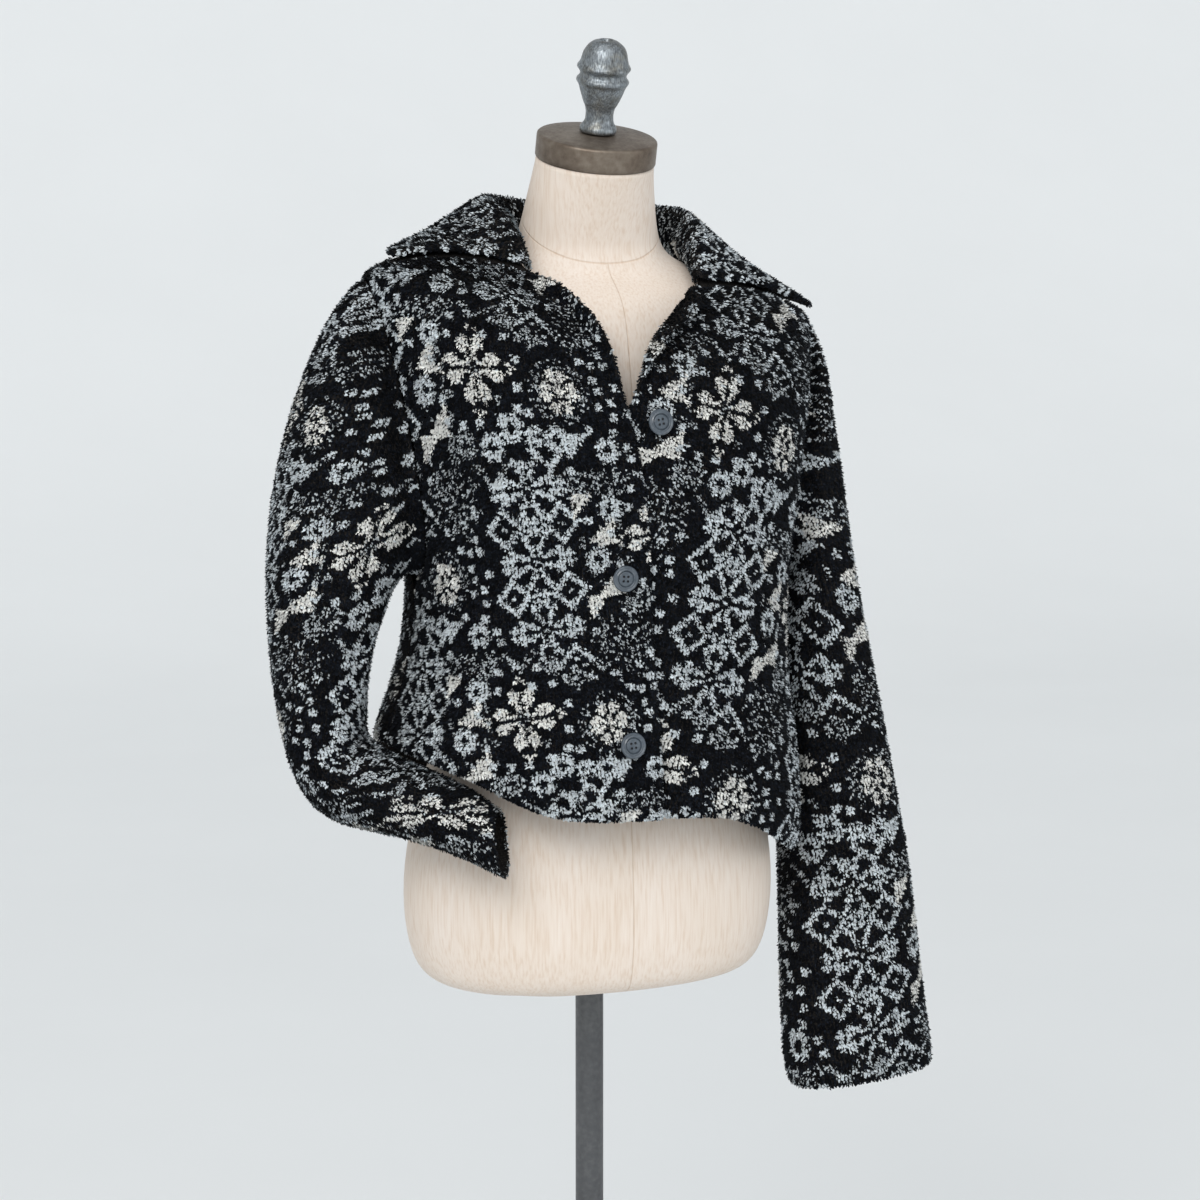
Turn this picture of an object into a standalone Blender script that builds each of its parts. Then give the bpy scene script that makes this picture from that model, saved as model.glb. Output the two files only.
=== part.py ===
"""A pile-knit cardigan, buttoned, on a limbless dress form that stands on a pole and a round base.

Metres, +Z up, -Y is the front, +X is the wearer's left. The origin is the middle of the base's underside.
Every cloth piece is a wall of pile cloth, whose outer face is where the pile's tips reach.
"""

import math

import bpy
from mathutils import Vector

# Cloth
WALL = 0.0055
SEAM = 0.0003
MITRE = 1.4
COLLAR_WALL = 0.0085
HEM_WALL = 0.0110
HEM_TURN = 0.034
UNDER_CLEARANCE = 0.0012

# Heights of the garment
UNDERARM = 1.100
V_BOTTOM = 1.243
SHOULDER_TIP = 1.322
NECK_SEAM = 1.374
LEVEL_TOP = 1.000
LIFT = 0.038
LIFT_REACH = 0.200

# Armhole, buttons, form
ARMHOLE_FRONT = 0.052
ARMHOLE_BACK = 0.056
BUTTON_RADIUS = 0.0112
FORM_CLEARANCE = 0.0018
CAP_TILT = math.radians(14.7)
CAP_RADIUS = 0.0525
CAP_CENTRE = Vector((0.0, 0.004, 1.458))
POLE_RADIUS = 0.0125
BASE_RADIUS = 0.165
TORSO_BOTTOM = 0.735
BASE_TOP = 0.022

# The worn outline, a row for each level: outer half width, depths before and behind the middle, middle, squareness
BODY_COLUMNS = ("height", "half_width", "front", "back", "middle_x", "middle_y", "exponent")
BODY = (
    (0.820, 0.178, 0.136, 0.124, -0.003, 0.016, 2.5),
    (0.855, 0.189, 0.148, 0.134, -0.004, 0.016, 2.5),
    (0.900, 0.193, 0.154, 0.138, -0.006, 0.016, 2.5),
    (0.950, 0.190, 0.154, 0.136, -0.006, 0.016, 2.5),
    (1.000, 0.178, 0.150, 0.128, -0.002, 0.017, 2.5),
    (1.050, 0.170, 0.149, 0.119, 0.003, 0.018, 2.5),
    (1.100, 0.169, 0.150, 0.112, 0.004, 0.019, 2.5),
    (1.150, 0.178, 0.152, 0.111, 0.002, 0.020, 2.45),
    (1.200, 0.189, 0.151, 0.112, 0.000, 0.021, 2.4),
    (1.250, 0.198, 0.146, 0.112, 0.000, 0.022, 2.35),
    (1.290, 0.203, 0.134, 0.106, 0.000, 0.022, 2.25),
    (1.322, 0.2065, 0.112, 0.094, 0.000, 0.022, 2.1),
    (1.338, 0.180, 0.099, 0.085, 0.000, 0.022, 2.0),
    (1.351, 0.151, 0.086, 0.076, 0.000, 0.022, 2.0),
    (1.363, 0.121, 0.071, 0.066, 0.000, 0.022, 2.0),
    (1.374, 0.092, 0.055, 0.056, 0.000, 0.022, 2.0),
)

# Height of the hem round the body, from the wearer's right side over the front to the left and the back
HEM_COLUMNS = ("degrees", "height")
HEM = (
    (-180.0, 0.876),
    (-135.0, 0.915),
    (-100.0, 0.956),
    (-75.0, 0.954),
    (-58.0, 0.946),
    (-42.0, 0.933),
    (-28.0, 0.914),
    (-14.0, 0.902),
    (14.0, 0.900),
    (32.0, 0.882),
    (52.0, 0.856),
    (75.0, 0.846),
    (100.0, 0.846),
    (135.0, 0.858),
    (180.0, 0.876),
)

# The lines where the fronts' free edges begin, as x at each height: the right front laps over the left
RIGHT_EDGE_COLUMNS = ("height", "x")
RIGHT_EDGE = (
    (0.840, -0.002),
    (0.900, -0.003),
    (1.000, -0.007),
    (1.100, -0.012),
    (1.200, -0.020),
    (1.243, -0.0295),
    (1.262, -0.0345),
    (1.300, -0.0430),
    (1.322, -0.0570),
    (1.338, -0.0740),
    (1.351, -0.0860),
    (1.363, -0.0890),
    (1.374, -0.0905),
)
LEFT_EDGE_COLUMNS = ("height", "x")
LEFT_EDGE = (
    (0.840, 0.0230),
    (0.900, 0.0220),
    (1.000, 0.0190),
    (1.100, 0.0140),
    (1.200, 0.0060),
    (1.243, -0.0035),
    (1.252, -0.0055),
    (1.262, -0.0040),
    (1.300, 0.0090),
    (1.322, 0.0330),
    (1.342, 0.0610),
    (1.351, 0.0770),
    (1.363, 0.0850),
    (1.374, 0.0905),
)

# The strip past each line: its width, and how far it turns out of the panel. Above the notch it is seam alone
STRIP_COLUMNS = ("height", "width", "turn")
RIGHT_STRIP = (
    (0.840, 0.010, 0.0),
    (1.200, 0.010, 0.0),
    (1.243, 0.010, 6.0),
    (1.262, 0.010, 20.0),
    (1.300, 0.013, 45.0),
    (1.322, 0.017, 60.0),
    (1.342, 0.016, 50.0),
    (1.351, 0.004, 0.0),
    (1.374, 0.004, 0.0),
)
LEFT_STRIP = (
    (0.840, 0.0530, 0.0),
    (1.200, 0.0390, 0.0),
    (1.243, 0.0275, 0.0),
    (1.252, 0.0120, 0.0),
    (1.262, 0.009, 30.0),
    (1.284, 0.014, 95.0),
    (1.300, 0.022, 140.0),
    (1.322, 0.033, 166.0),
    (1.332, 0.030, 150.0),
    (1.342, 0.014, 60.0),
    (1.351, 0.004, 0.0),
    (1.374, 0.004, 0.0),
)
STRIP_ROLL = 0.0034

# Large folds of the body: where round it, over which heights, how deep and how wide
FOLD_COLUMNS = ("degrees", "low", "high", "depth", "spread")
BODY_FOLDS = (
    (-62.0, 1.02, 1.30, -0.006, 7.0),
    (-40.0, 0.96, 1.16, -0.004, 6.0),
    (-74.0, 0.93, 1.08, -0.005, 5.0),
    (56.0, 0.84, 1.12, -0.007, 5.0),
    (70.0, 0.86, 1.10, -0.006, 4.0),
    (40.0, 0.98, 1.26, -0.004, 6.0),
    (22.0, 0.90, 1.02, -0.003, 5.0),
    (118.0, 0.86, 1.16, -0.006, 8.0),
    (150.0, 0.86, 1.10, -0.005, 7.0),
    (-118.0, 0.92, 1.20, -0.006, 8.0),
    (-152.0, 0.88, 1.08, -0.005, 7.0),
)

# Sleeves, a row for each ring: its middle, half width, how far its outer point lies below level, which way its
# front faces, and its depths before and behind the middle
RING_COLUMNS = ("x", "y", "z", "half", "lean", "turn", "front", "back")
LEFT_SLEEVE = (
    (0.1999, 0.021, 1.2033, 0.1033, -80.6, 0.0, 0.059, 0.059),
    (0.2038, 0.021, 1.1735, 0.0838, -77.0, 0.0, 0.059, 0.059),
    (0.2095, 0.021, 1.1347, 0.0649, -66.8, 0.0, 0.059, 0.059),
    (0.2122, 0.021, 1.0850, 0.0468, -43.2, 0.0, 0.061, 0.060),
    (0.2210, 0.021, 1.0225, 0.0455, -23.6, 2.0, 0.060, 0.058),
    (0.2340, 0.023, 0.9525, 0.0488, -15.5, 4.0, 0.058, 0.055),
    (0.2455, 0.025, 0.8810, 0.0544, -10.1, 6.0, 0.055, 0.051),
    (0.2565, 0.027, 0.8030, 0.0639, -6.8, 8.0, 0.051, 0.047),
    (0.2630, 0.028, 0.7220, 0.0703, -5.3, 8.0, 0.047, 0.043),
    (0.2695, 0.028, 0.6600, 0.0747, -4.1, 8.0, 0.044, 0.040),
    (0.2740, 0.028, 0.6300, 0.0762, -4.0, 8.0, 0.041, 0.038),
    (0.2770, 0.028, 0.6140, 0.0751, -3.3, 8.0, 0.038, 0.035),
)
RIGHT_SLEEVE = (
    (-0.2032, 0.021, 1.2177, 0.1194, -76.8, 0.0, 0.060, 0.060),
    (-0.2175, 0.021, 1.1901, 0.1018, -69.0, 0.0, 0.061, 0.061),
    (-0.2319, 0.021, 1.1563, 0.0815, -57.9, 0.0, 0.061, 0.061),
    (-0.2410, 0.021, 1.1130, 0.0620, -39.5, 0.0, 0.062, 0.062),
    (-0.2480, 0.020, 1.0700, 0.0495, -25.8, 4.0, 0.061, 0.060),
    (-0.2495, 0.020, 1.0230, 0.0420, -8.0, 10.0, 0.059, 0.057),
    (-0.2465, 0.018, 0.9850, 0.0390, 10.0, 18.0, 0.055, 0.054),
    (-0.2435, 0.012, 0.9570, 0.0375, 30.0, 26.0, 0.052, 0.051),
    (-0.2360, 0.002, 0.9380, 0.0380, 54.0, 33.0, 0.050, 0.048),
    (-0.2260, -0.010, 0.9290, 0.0370, 73.0, 37.0, 0.048, 0.045),
    (-0.2110, -0.026, 0.9230, 0.0340, 86.0, 38.0, 0.046, 0.042),
    (-0.1880, -0.052, 0.9160, 0.0315, 92.0, 36.0, 0.042, 0.036),
    (-0.1580, -0.082, 0.9050, 0.0310, 94.0, 33.0, 0.037, 0.031),
    (-0.1270, -0.108, 0.8840, 0.0300, 95.0, 30.0, 0.033, 0.028),
)
SLEEVE_FOLD_COLUMNS = ("degrees", "low", "high", "depth", "spread")
RIGHT_SLEEVE_FOLDS = (
    (62.0, 0.10, 0.56, -0.010, 11.0),
    (118.0, 0.22, 0.50, -0.006, 12.0),
    (250.0, 0.12, 0.52, -0.007, 14.0),
)
LEFT_SLEEVE_FOLDS = (
    (70.0, 0.10, 0.62, -0.007, 12.0),
    (120.0, 0.36, 0.90, -0.006, 14.0),
    (285.0, 0.14, 0.80, -0.007, 14.0),
)
# Creases across the right sleeve where it bends: place along it, depth, spread
ELBOW_CREASES = ((0.50, -0.0045, 0.020), (0.57, -0.0055, 0.018), (0.64, -0.0045, 0.018))
SLEEVE_START = 0.010
SLEEVE_TURN = math.radians(64.0)

# Collar, from a notch to the middle of the back: how high its fold stands over the seam, how far it leans in, and
# where its outer edge lies on the body. The lifted right shoulder shortens the right half
COLLAR_COLUMNS = ("share", "stand", "lean", "degrees", "height")
LEFT_COLLAR = (
    (0.00, 0.002, 0.000, 81.0, 1.3250),
    (0.10, 0.012, 0.000, 86.0, 1.3262),
    (0.25, 0.027, 0.001, 97.0, 1.3330),
    (0.45, 0.031, 0.002, 118.0, 1.3370),
    (0.70, 0.034, 0.002, 148.0, 1.3330),
    (1.00, 0.035, 0.002, 180.0, 1.3270),
)
RIGHT_COLLAR = (
    (0.00, 0.002, 0.000, 79.0, 1.3350),
    (0.10, 0.012, 0.000, 85.0, 1.3362),
    (0.25, 0.023, 0.001, 97.0, 1.3400),
    (0.45, 0.027, 0.002, 118.0, 1.3410),
    (0.70, 0.033, 0.002, 148.0, 1.3345),
    (1.00, 0.035, 0.002, 180.0, 1.3270),
)
COLLAR_SEAT = 0.0014
COLLAR_FOLD = 0.0095

# Form: its own outline below the shoulders, and the neck's rings
TORSO_COLUMNS = ("height", "half_width", "front", "back", "middle_y")
TORSO = (
    (0.735, 0.128, 0.080, 0.088, 0.018),
    (0.740, 0.148, 0.094, 0.098, 0.018),
    (0.755, 0.162, 0.102, 0.108, 0.018),
    (0.790, 0.171, 0.106, 0.112, 0.018),
    (0.840, 0.172, 0.104, 0.110, 0.018),
    (0.900, 0.160, 0.098, 0.100, 0.018),
    (0.960, 0.138, 0.092, 0.088, 0.018),
    (1.020, 0.124, 0.088, 0.078, 0.018),
    (1.080, 0.128, 0.098, 0.080, 0.018),
    (1.130, 0.138, 0.116, 0.086, 0.019),
    (1.170, 0.145, 0.124, 0.092, 0.020),
    (1.210, 0.150, 0.118, 0.096, 0.021),
    (1.260, 0.157, 0.103, 0.097, 0.022),
    (1.300, 0.161, 0.096, 0.090, 0.022),
    (1.326, 0.163, 0.088, 0.080, 0.022),
)
SHOULDER_LEVELS = (1.3445, 1.351, 1.357, 1.363, 1.3685)
FORM_SLACK = 0.005
NECK_COLUMNS = ("height", "half_width", "front", "back", "middle_y", "tilt")
NECK = (
    (1.3740, 0.0760, 0.049, 0.042, 0.024, 0.0),
    (1.3850, 0.0680, 0.048, 0.040, 0.024, 1.5),
    (1.4000, 0.0625, 0.049, 0.042, 0.021, 4.0),
    (1.4200, 0.0585, 0.050, 0.046, 0.016, 7.0),
    (1.4400, 0.0545, 0.051, 0.050, 0.010, 12.0),
)

# Buttons from the top: height, x, and how far the back stands off the outline, whose facets lie a little inside it
BUTTON_COLUMNS = ("height", "x", "seat")
BUTTONS = (
    (1.2390, 0.0065, 0.0002),
    (1.1085, -0.0270, 0.0),
    (0.9670, -0.0225, -0.0003),
)


def named(columns, rows):
    """The rows of a table as dictionaries."""
    return [dict(zip(columns, row)) for row in rows]


def smooth(value):
    value = min(1.0, max(0.0, value))
    return value * value * (3.0 - 2.0 * value)


def read(columns, rows, at):
    """A table's row at a value of its first column, on smooth curves that don't overshoot."""
    keys = [row[0] for row in rows]
    at = min(keys[-1], max(keys[0], at))
    k = max(i for i in range(len(keys) - 1) if keys[i] <= at)
    share = (at - keys[k]) / (keys[k + 1] - keys[k])
    values = []
    for column in range(len(columns)):
        low, high = rows[k][column], rows[k + 1][column]
        step = (high - low) / (keys[k + 1] - keys[k])
        before = slope(rows, k, column) if k > 0 else step
        after = slope(rows, k + 1, column) if k + 2 < len(keys) else step
        width = keys[k + 1] - keys[k]
        s2, s3 = share * share, share ** 3
        value = (2 * s3 - 3 * s2 + 1) * low + (s3 - 2 * s2 + share) * width * before
        value += (-2 * s3 + 3 * s2) * high + (s3 - s2) * width * after
        values.append(value)
    return dict(zip(columns, values))


def slope(table, k, column):
    """The slope at a row, flat where the column turns back there."""
    below = (table[k][column] - table[k - 1][column]) / (table[k][0] - table[k - 1][0])
    above = (table[k + 1][column] - table[k][column]) / (table[k + 1][0] - table[k][0])
    if below * above <= 0.0:
        return 0.0
    return 2.0 * below * above / (below + above)


def signed_power(value, power):
    return math.copysign(abs(value) ** power, value)


def bump(value, spread):
    return math.exp(-((value / spread) ** 2))


def turn_between(a, b):
    """The turn from b to a, in degrees from -180 to 180."""
    return (a - b + 180.0) % 360.0 - 180.0


def body_fold(angle, height):
    """How far the body's large folds move the cloth in or out."""
    total = 0.0
    degrees = math.degrees(angle)
    for fold in named(FOLD_COLUMNS, BODY_FOLDS):
        length = (height - fold["low"]) / (fold["high"] - fold["low"])
        if 0.0 < length < 1.0:
            along = math.sin(math.pi * length) ** 0.8
            total += fold["depth"] * along * bump(turn_between(degrees, fold["degrees"]), fold["spread"])
    return total


def lifted(point):
    """The right shoulder is raised by the bent sleeve."""
    reach = smooth(-point.x / LIFT_REACH)
    level = smooth((point.z - UNDERARM) / (V_BOTTOM + 0.04 - UNDERARM))
    return Vector((point.x, point.y, point.z + LIFT * reach * level))


def section_point(angle, height):
    """A point of the worn outline before folds; the angle is 0 in front and 90 degrees at the wearer's left."""
    row = read(BODY_COLUMNS, BODY, height)
    power = 2.0 / row["exponent"]
    depth = row["front"] if math.cos(angle) > 0.0 else row["back"]
    x = row["middle_x"] + row["half_width"] * signed_power(math.sin(angle), power)
    y = row["middle_y"] - depth * signed_power(math.cos(angle), power)
    return Vector((x, y, height))


def body_normal(angle, height):
    """The outward normal of the smooth outline."""
    turn, rise = 0.02, 0.004
    around = section_point(angle + turn, height) - section_point(angle - turn, height)
    low, high = max(BODY[0][0], height - rise), min(BODY[-1][0], height + rise)
    up = section_point(angle, high) - section_point(angle, low)
    return around.cross(up).normalized()


def body_point(angle, height, out=0.0):
    """A point of the cloth, moved out of its outer face by out."""
    normal = body_normal(angle, height)
    place = section_point(angle, height)
    return lifted(place + normal * (out + body_fold(angle, height)))


def angle_at_x(x, height):
    """The angle in front where the outline has this x."""
    row = read(BODY_COLUMNS, BODY, height)
    share = (x - row["middle_x"]) / row["half_width"]
    share = min(0.985, max(-0.985, share))
    return math.asin(signed_power(share, row["exponent"] / 2.0))


def angle_at_depth(depth, height, behind, side):
    """The angle at a side where the outline is this far before or behind its middle."""
    row = read(BODY_COLUMNS, BODY, height)
    share = depth / (row["back"] if behind else row["front"])
    turn = math.acos(share ** (row["exponent"] / 2.0))
    return side * (math.pi - turn if behind else turn)


def armhole_depth(height, widest):
    """Half the armhole's width at a height, round below and narrow above."""
    share = (height - UNDERARM) / (SHOULDER_TIP - UNDERARM)
    if share <= 0.0 or share >= 1.0:
        return SEAM / 2.0
    return SEAM / 2.0 + widest * math.sin(math.pi * share ** 0.72) ** 0.62


HEM_STEPS = (0.0, 0.003, 0.009, HEM_TURN - 0.005, HEM_TURN)
LOW_SHARES = (0.34, 0.67)
LEVELS = (1.000, 1.035, 1.070, UNDERARM)
ARMHOLE_LEVELS = (1.106, 1.116, 1.131, 1.152, 1.176, 1.200, 1.222, V_BOTTOM, 1.252, 1.264, 1.283, 1.300, 1.313, SHOULDER_TIP)
NECK_LEVELS = (1.332, 1.342, 1.351, 1.357, 1.365, NECK_SEAM)
NOTCH_ROW = 1.351
ROWS = len(HEM_STEPS) + len(LOW_SHARES) + len(LEVELS) + len(ARMHOLE_LEVELS) + len(NECK_LEVELS)
FIXED = LEVELS + ARMHOLE_LEVELS + NECK_LEVELS


def hem_height(angle):
    return read(HEM_COLUMNS, HEM, turn_between(math.degrees(angle), 0.0))["height"]


def row_height(row, angle):
    """The height of a row of points, which follows the hem below and is level above."""
    hem = hem_height(angle)
    if row < len(HEM_STEPS):
        return hem + HEM_STEPS[row]
    row -= len(HEM_STEPS)
    if row < len(LOW_SHARES):
        bottom = hem + HEM_TURN
        return bottom + (LEVEL_TOP - bottom) * LOW_SHARES[row]
    return FIXED[row - len(LOW_SHARES)]


def hem_faces(row):
    """How far the outer and inner faces lie out in each row: the hem is turned up and rounded."""
    rounded = {0: (-0.0040, -0.0072), 1: (-0.0012, -0.0100), 2: (0.0, -HEM_WALL), 3: (0.0, -HEM_WALL)}
    return rounded.get(row, (0.0, -WALL))


def nominal_height(row):
    return row_height(row, 0.0)


def strip_offset(distance, turn, roll):
    """Past an edge line the cloth rolls out by turn: x step towards the edge, step out, and the turn reached."""
    arc = roll * turn
    if distance <= arc:
        reached = distance / roll
        return roll * math.sin(reached), roll * (1.0 - math.cos(reached)), reached
    rest = distance - arc
    along = roll * math.sin(turn) + rest * math.cos(turn)
    return along, roll * (1.0 - math.cos(turn)) + rest * math.sin(turn), turn


PANEL_COLUMNS = 9
EDGE_ROUNDING = 0.0016


def strip_distances(width, turn):
    """How far past the edge line each column of the strip lies, free edge first, with the turn's arc in two steps."""
    bend = min(max(STRIP_ROLL * turn, 0.40 * width), 0.85 * width)
    return width, width - min(0.003, 0.2 * (width - bend)), bend, bend / 2.0, 0.0


def front_rows(side, edge_columns, edge_table, strip_table, under):
    """The outer and inner points of a front, from its free edge to the side seam."""
    outer, inner = [], []
    for row in range(ROWS):
        level = nominal_height(row)
        edge_x = read(edge_columns, edge_table, level)["x"]
        strip = read(STRIP_COLUMNS, strip_table, level)
        turn = math.radians(strip["turn"])
        start = angle_at_x(edge_x, level)
        out_face, in_face = hem_faces(row)
        face_row, back_row = [], []
        for distance in strip_distances(strip["width"], turn):
            step, rise, reached = strip_offset(distance, turn, STRIP_ROLL)
            angle = angle_at_x(edge_x - side * step, level)
            height = row_height(row, angle)
            sink = under_sink(row, edge_x - side * step, height) if under else 0.0
            at_edge = distance == strip["width"]
            rounding = min(EDGE_ROUNDING, 0.3 * (out_face - in_face)) if at_edge else 0.0
            low = out_face - rounding
            high = in_face + rounding
            x_in = side * math.sin(reached)
            for out, points in ((low, face_row), (high, back_row)):
                turned = angle_at_x(edge_x - side * step + x_in * out, level)
                height = row_height(row, turned)
                points.append(body_point(turned, height, sink + rise + math.cos(reached) * out))
        seam = side * math.pi / 2.0
        end = side_angle(level, side, behind=False)
        for column in range(1, PANEL_COLUMNS + 1):
            share = (column / PANEL_COLUMNS) ** 0.94
            angle = start + (seam - start) * share + (end - seam) * share ** 2
            height = row_height(row, angle)
            x = section_point(angle, level).x
            sink = under_sink(row, x, height) if under else 0.0
            face_row.append(body_point(angle, height, sink + out_face))
            back_row.append(body_point(angle, height, sink + in_face))
        outer.append(face_row)
        inner.append(back_row)
    return outer, inner


def side_angle(level, side, behind):
    """Where a panel ends at the side seam, the armhole or the shoulder seam."""
    widest = ARMHOLE_BACK if behind else ARMHOLE_FRONT
    return angle_at_depth(armhole_depth(level, widest), level, behind, side)


def under_sink(row, x, height):
    """The left front passes inside the right one, clear of its inner face and turned hem."""
    level = nominal_height(row)
    edge = read(RIGHT_EDGE_COLUMNS, RIGHT_EDGE, level)["x"]
    reach = RIGHT_STRIP[0][1]
    wider = 0.020 * smooth((level - V_BOTTOM) / 0.020)
    over = smooth((edge + reach + 0.016 + wider - x) / (0.013 + wider))
    depth = (HEM_WALL if row < 5 else WALL) + UNDER_CLEARANCE
    if row >= 5:
        depth += 0.0055 * smooth((0.985 - height) / 0.03)
    open_above = 1.0 - smooth((level - 1.252) / 0.045)
    return -depth * over * open_above


def spread_angle(share, left, right):
    """The back's angle at a share of its width: the armholes move the outer columns more than the middle ones."""
    even = math.pi / 2.0 + math.pi * share
    from_left = max(0.0, 1.0 - 2.0 * share) ** 2
    from_right = max(0.0, 2.0 * share - 1.0) ** 2
    return even + (left - math.pi / 2.0) * from_left + (right - 1.5 * math.pi) * from_right


def back_rows():
    """The outer and inner points of the back, from the left side seam round to the right."""
    outer, inner = [], []
    columns = 18
    for row in range(ROWS):
        level = nominal_height(row)
        left = side_angle(level, 1.0, behind=True)
        right = 2.0 * math.pi + side_angle(level, -1.0, behind=True)
        out_face, in_face = hem_faces(row)
        face_row, back_row = [], []
        for column in range(columns + 1):
            angle = spread_angle(column / columns, left, right)
            height = row_height(row, angle)
            face_row.append(body_point(angle, height, out_face))
            back_row.append(body_point(angle, height, in_face))
        outer.append(face_row)
        inner.append(back_row)
    return outer, inner


def material(name, color, roughness, metallic=0.0):
    made = bpy.data.materials.new(name)
    made.use_nodes = True
    shader = made.node_tree.nodes["Principled BSDF"]
    shader.inputs["Base Color"].default_value = (*color, 1.0)
    shader.inputs["Roughness"].default_value = roughness
    shader.inputs["Metallic"].default_value = metallic
    made.diffuse_color = (*color, 1.0)
    return made


def add_object(name, mesh, finish, collection):
    made = bpy.data.objects.new(name, mesh)
    mesh.materials.append(finish)
    mesh.shade_smooth()
    mesh.set_sharp_from_angle(angle=math.radians(50.0))
    collection.objects.link(made)
    return made


def wall_mesh(name, outer, inner, ring=False):
    """A closed wall between an outer and an inner net of points; a ring's rows close on themselves."""
    rows, columns = len(outer), len(outer[0])
    points = [point for net in (outer, inner) for row in net for point in row]
    layer = rows * columns
    faces = []
    steps = columns if ring else columns - 1
    for r in range(rows - 1):
        for c in range(steps):
            d = (c + 1) % columns
            a0, a1 = r * columns + c, r * columns + d
            b0, b1 = a0 + columns, a1 + columns
            faces.append((a0, a1, b1, b0))
            faces.append((layer + a0, layer + b0, layer + b1, layer + a1))
    for r, flip in ((0, False), (rows - 1, True)):
        for c in range(steps):
            d = (c + 1) % columns
            a0, a1 = r * columns + c, r * columns + d
            face = (a1, a0, layer + a0, layer + a1)
            faces += halves(points, face[::-1] if flip else face)
    if not ring:
        for c, flip in ((0, True), (columns - 1, False)):
            for r in range(rows - 1):
                a0, b0 = r * columns + c, (r + 1) * columns + c
                face = (a0, layer + a0, layer + b0, b0)
                faces += halves(points, face if not flip else face[::-1])
    mesh = bpy.data.meshes.new(name)
    mesh.from_pydata([tuple(point) for point in points], [], faces)
    return mesh


def halves(points, face):
    """A cut edge's four-sided face as two triangles on its shorter diagonal, so that edges that meet are cut alike."""
    a, b, c, d = face
    if (points[a] - points[c]).length <= (points[b] - points[d]).length:
        return [(a, b, c), (a, c, d)]
    return [(a, b, d), (b, c, d)]


def outward(mesh):
    """Turns every face outward if the mesh came out inside out."""
    volume = 0.0
    mesh.calc_loop_triangles()
    for triangle in mesh.loop_triangles:
        a, b, c = (mesh.vertices[k].co for k in triangle.vertices)
        volume += a.dot(b.cross(c)) / 6.0
    if volume < 0.0:
        mesh.flip_normals()
    return mesh


def seam_points(edge, closed):
    """Points a seam's width past a cut edge, in the line of its panel, each with the way out of the panel."""
    placed = []
    last = len(edge) - 1
    for k, (face, back, before) in enumerate(edge):
        earlier = edge[k - 1] if closed or k > 0 else edge[k]
        later = edge[(k + 1) % len(edge)] if closed or k < last else edge[k]
        ways = []
        for layer in (0, 1):
            away = (later[layer] - earlier[layer]).cross(face - back).normalized()
            ways.append(away if away.dot(face - before) > 0.0 else -away)
        shift = SEAM * MITRE
        placed.append((face + ways[0] * shift, back + ways[1] * shift, ways[0]))
    return placed


def armhole_loop(front, back, back_column, back_neighbour):
    """The armhole from the shoulder tip down the front, under the arm and up the back, a seam's width out."""
    first = len(HEM_STEPS) + len(LOW_SHARES) + len(LEVELS) - 1
    last = first + len(ARMHOLE_LEVELS)
    front_outer, front_inner = front
    back_outer, back_inner = back
    edge = []
    for row in range(last, first - 1, -1):
        face, under, before = front_outer[row][-1], front_inner[row][-1], front_outer[row][-2]
        if row in (first, last):
            face = (face + back_outer[row][back_column]) / 2.0
            under = (under + back_inner[row][back_column]) / 2.0
            before = front_outer[row + 1 if row == last else row - 1][-1]
        edge.append((face, under, before))
    for row in range(first + 1, last):
        edge.append((back_outer[row][back_column], back_inner[row][back_column], back_outer[row][back_neighbour]))
    return seam_points(edge, closed=True)


def loop_shares(points):
    """Each point's share of the way round a closed loop."""
    lengths = [0.0]
    for k in range(1, len(points) + 1):
        lengths.append(lengths[-1] + (points[k % len(points)] - points[k - 1]).length)
    return [length / lengths[-1] for length in lengths[:-1]]


def curve_through(values, share):
    """A value at a share of the way along evenly keyed values, on a Catmull-Rom curve."""
    last = len(values) - 1
    at = min(last - 1e-9, max(0.0, share * last))
    k = int(at)
    t = at - k
    p0, p1 = values[max(0, k - 1)], values[k]
    p2, p3 = values[k + 1], values[min(last, k + 2)]
    return 0.5 * (2 * p1 + (p2 - p0) * t + (2 * p0 - 5 * p1 + 4 * p2 - p3) * t * t + (3 * p1 - p0 - 3 * p2 + p3) * t ** 3)


def ring_points(row, shares, squareness=2.3):
    """A sleeve ring round its middle."""
    middle = Vector((row["x"], row["y"], row["z"]))
    side = math.copysign(1.0, row["x"])
    turn, lean = math.radians(row["turn"]), math.radians(row["lean"])
    level = math.cos(lean)
    half = Vector((side * math.cos(turn) * level, math.sin(turn) * level, -math.sin(lean))) * row["half"]
    ahead = Vector((side * math.sin(turn), -math.cos(turn), 0.0))
    points = []
    for share in shares:
        angle = 2.0 * math.pi * share
        depth = row["front"] if math.sin(angle) > 0.0 else row["back"]
        across = half * signed_power(math.cos(angle), 2.0 / squareness)
        points.append(middle + across + ahead * depth * signed_power(math.sin(angle), 2.0 / squareness))
    return points


def net_normals(rows, ring):
    """Outward normals of a net of points, by its neighbours."""
    normals = []
    count = len(rows[0])
    for r in range(len(rows)):
        line = []
        below, above = rows[max(0, r - 1)], rows[min(len(rows) - 1, r + 1)]
        for c in range(count):
            before = (c - 1) % count if ring else max(0, c - 1)
            after = (c + 1) % count if ring else min(count - 1, c + 1)
            around = rows[r][after] - rows[r][before]
            up = above[c] - below[c]
            line.append(around.cross(up).normalized())
        normals.append(line)
    return normals


SLEEVE_RINGS = 17
EASE_PASSES = 3


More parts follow.
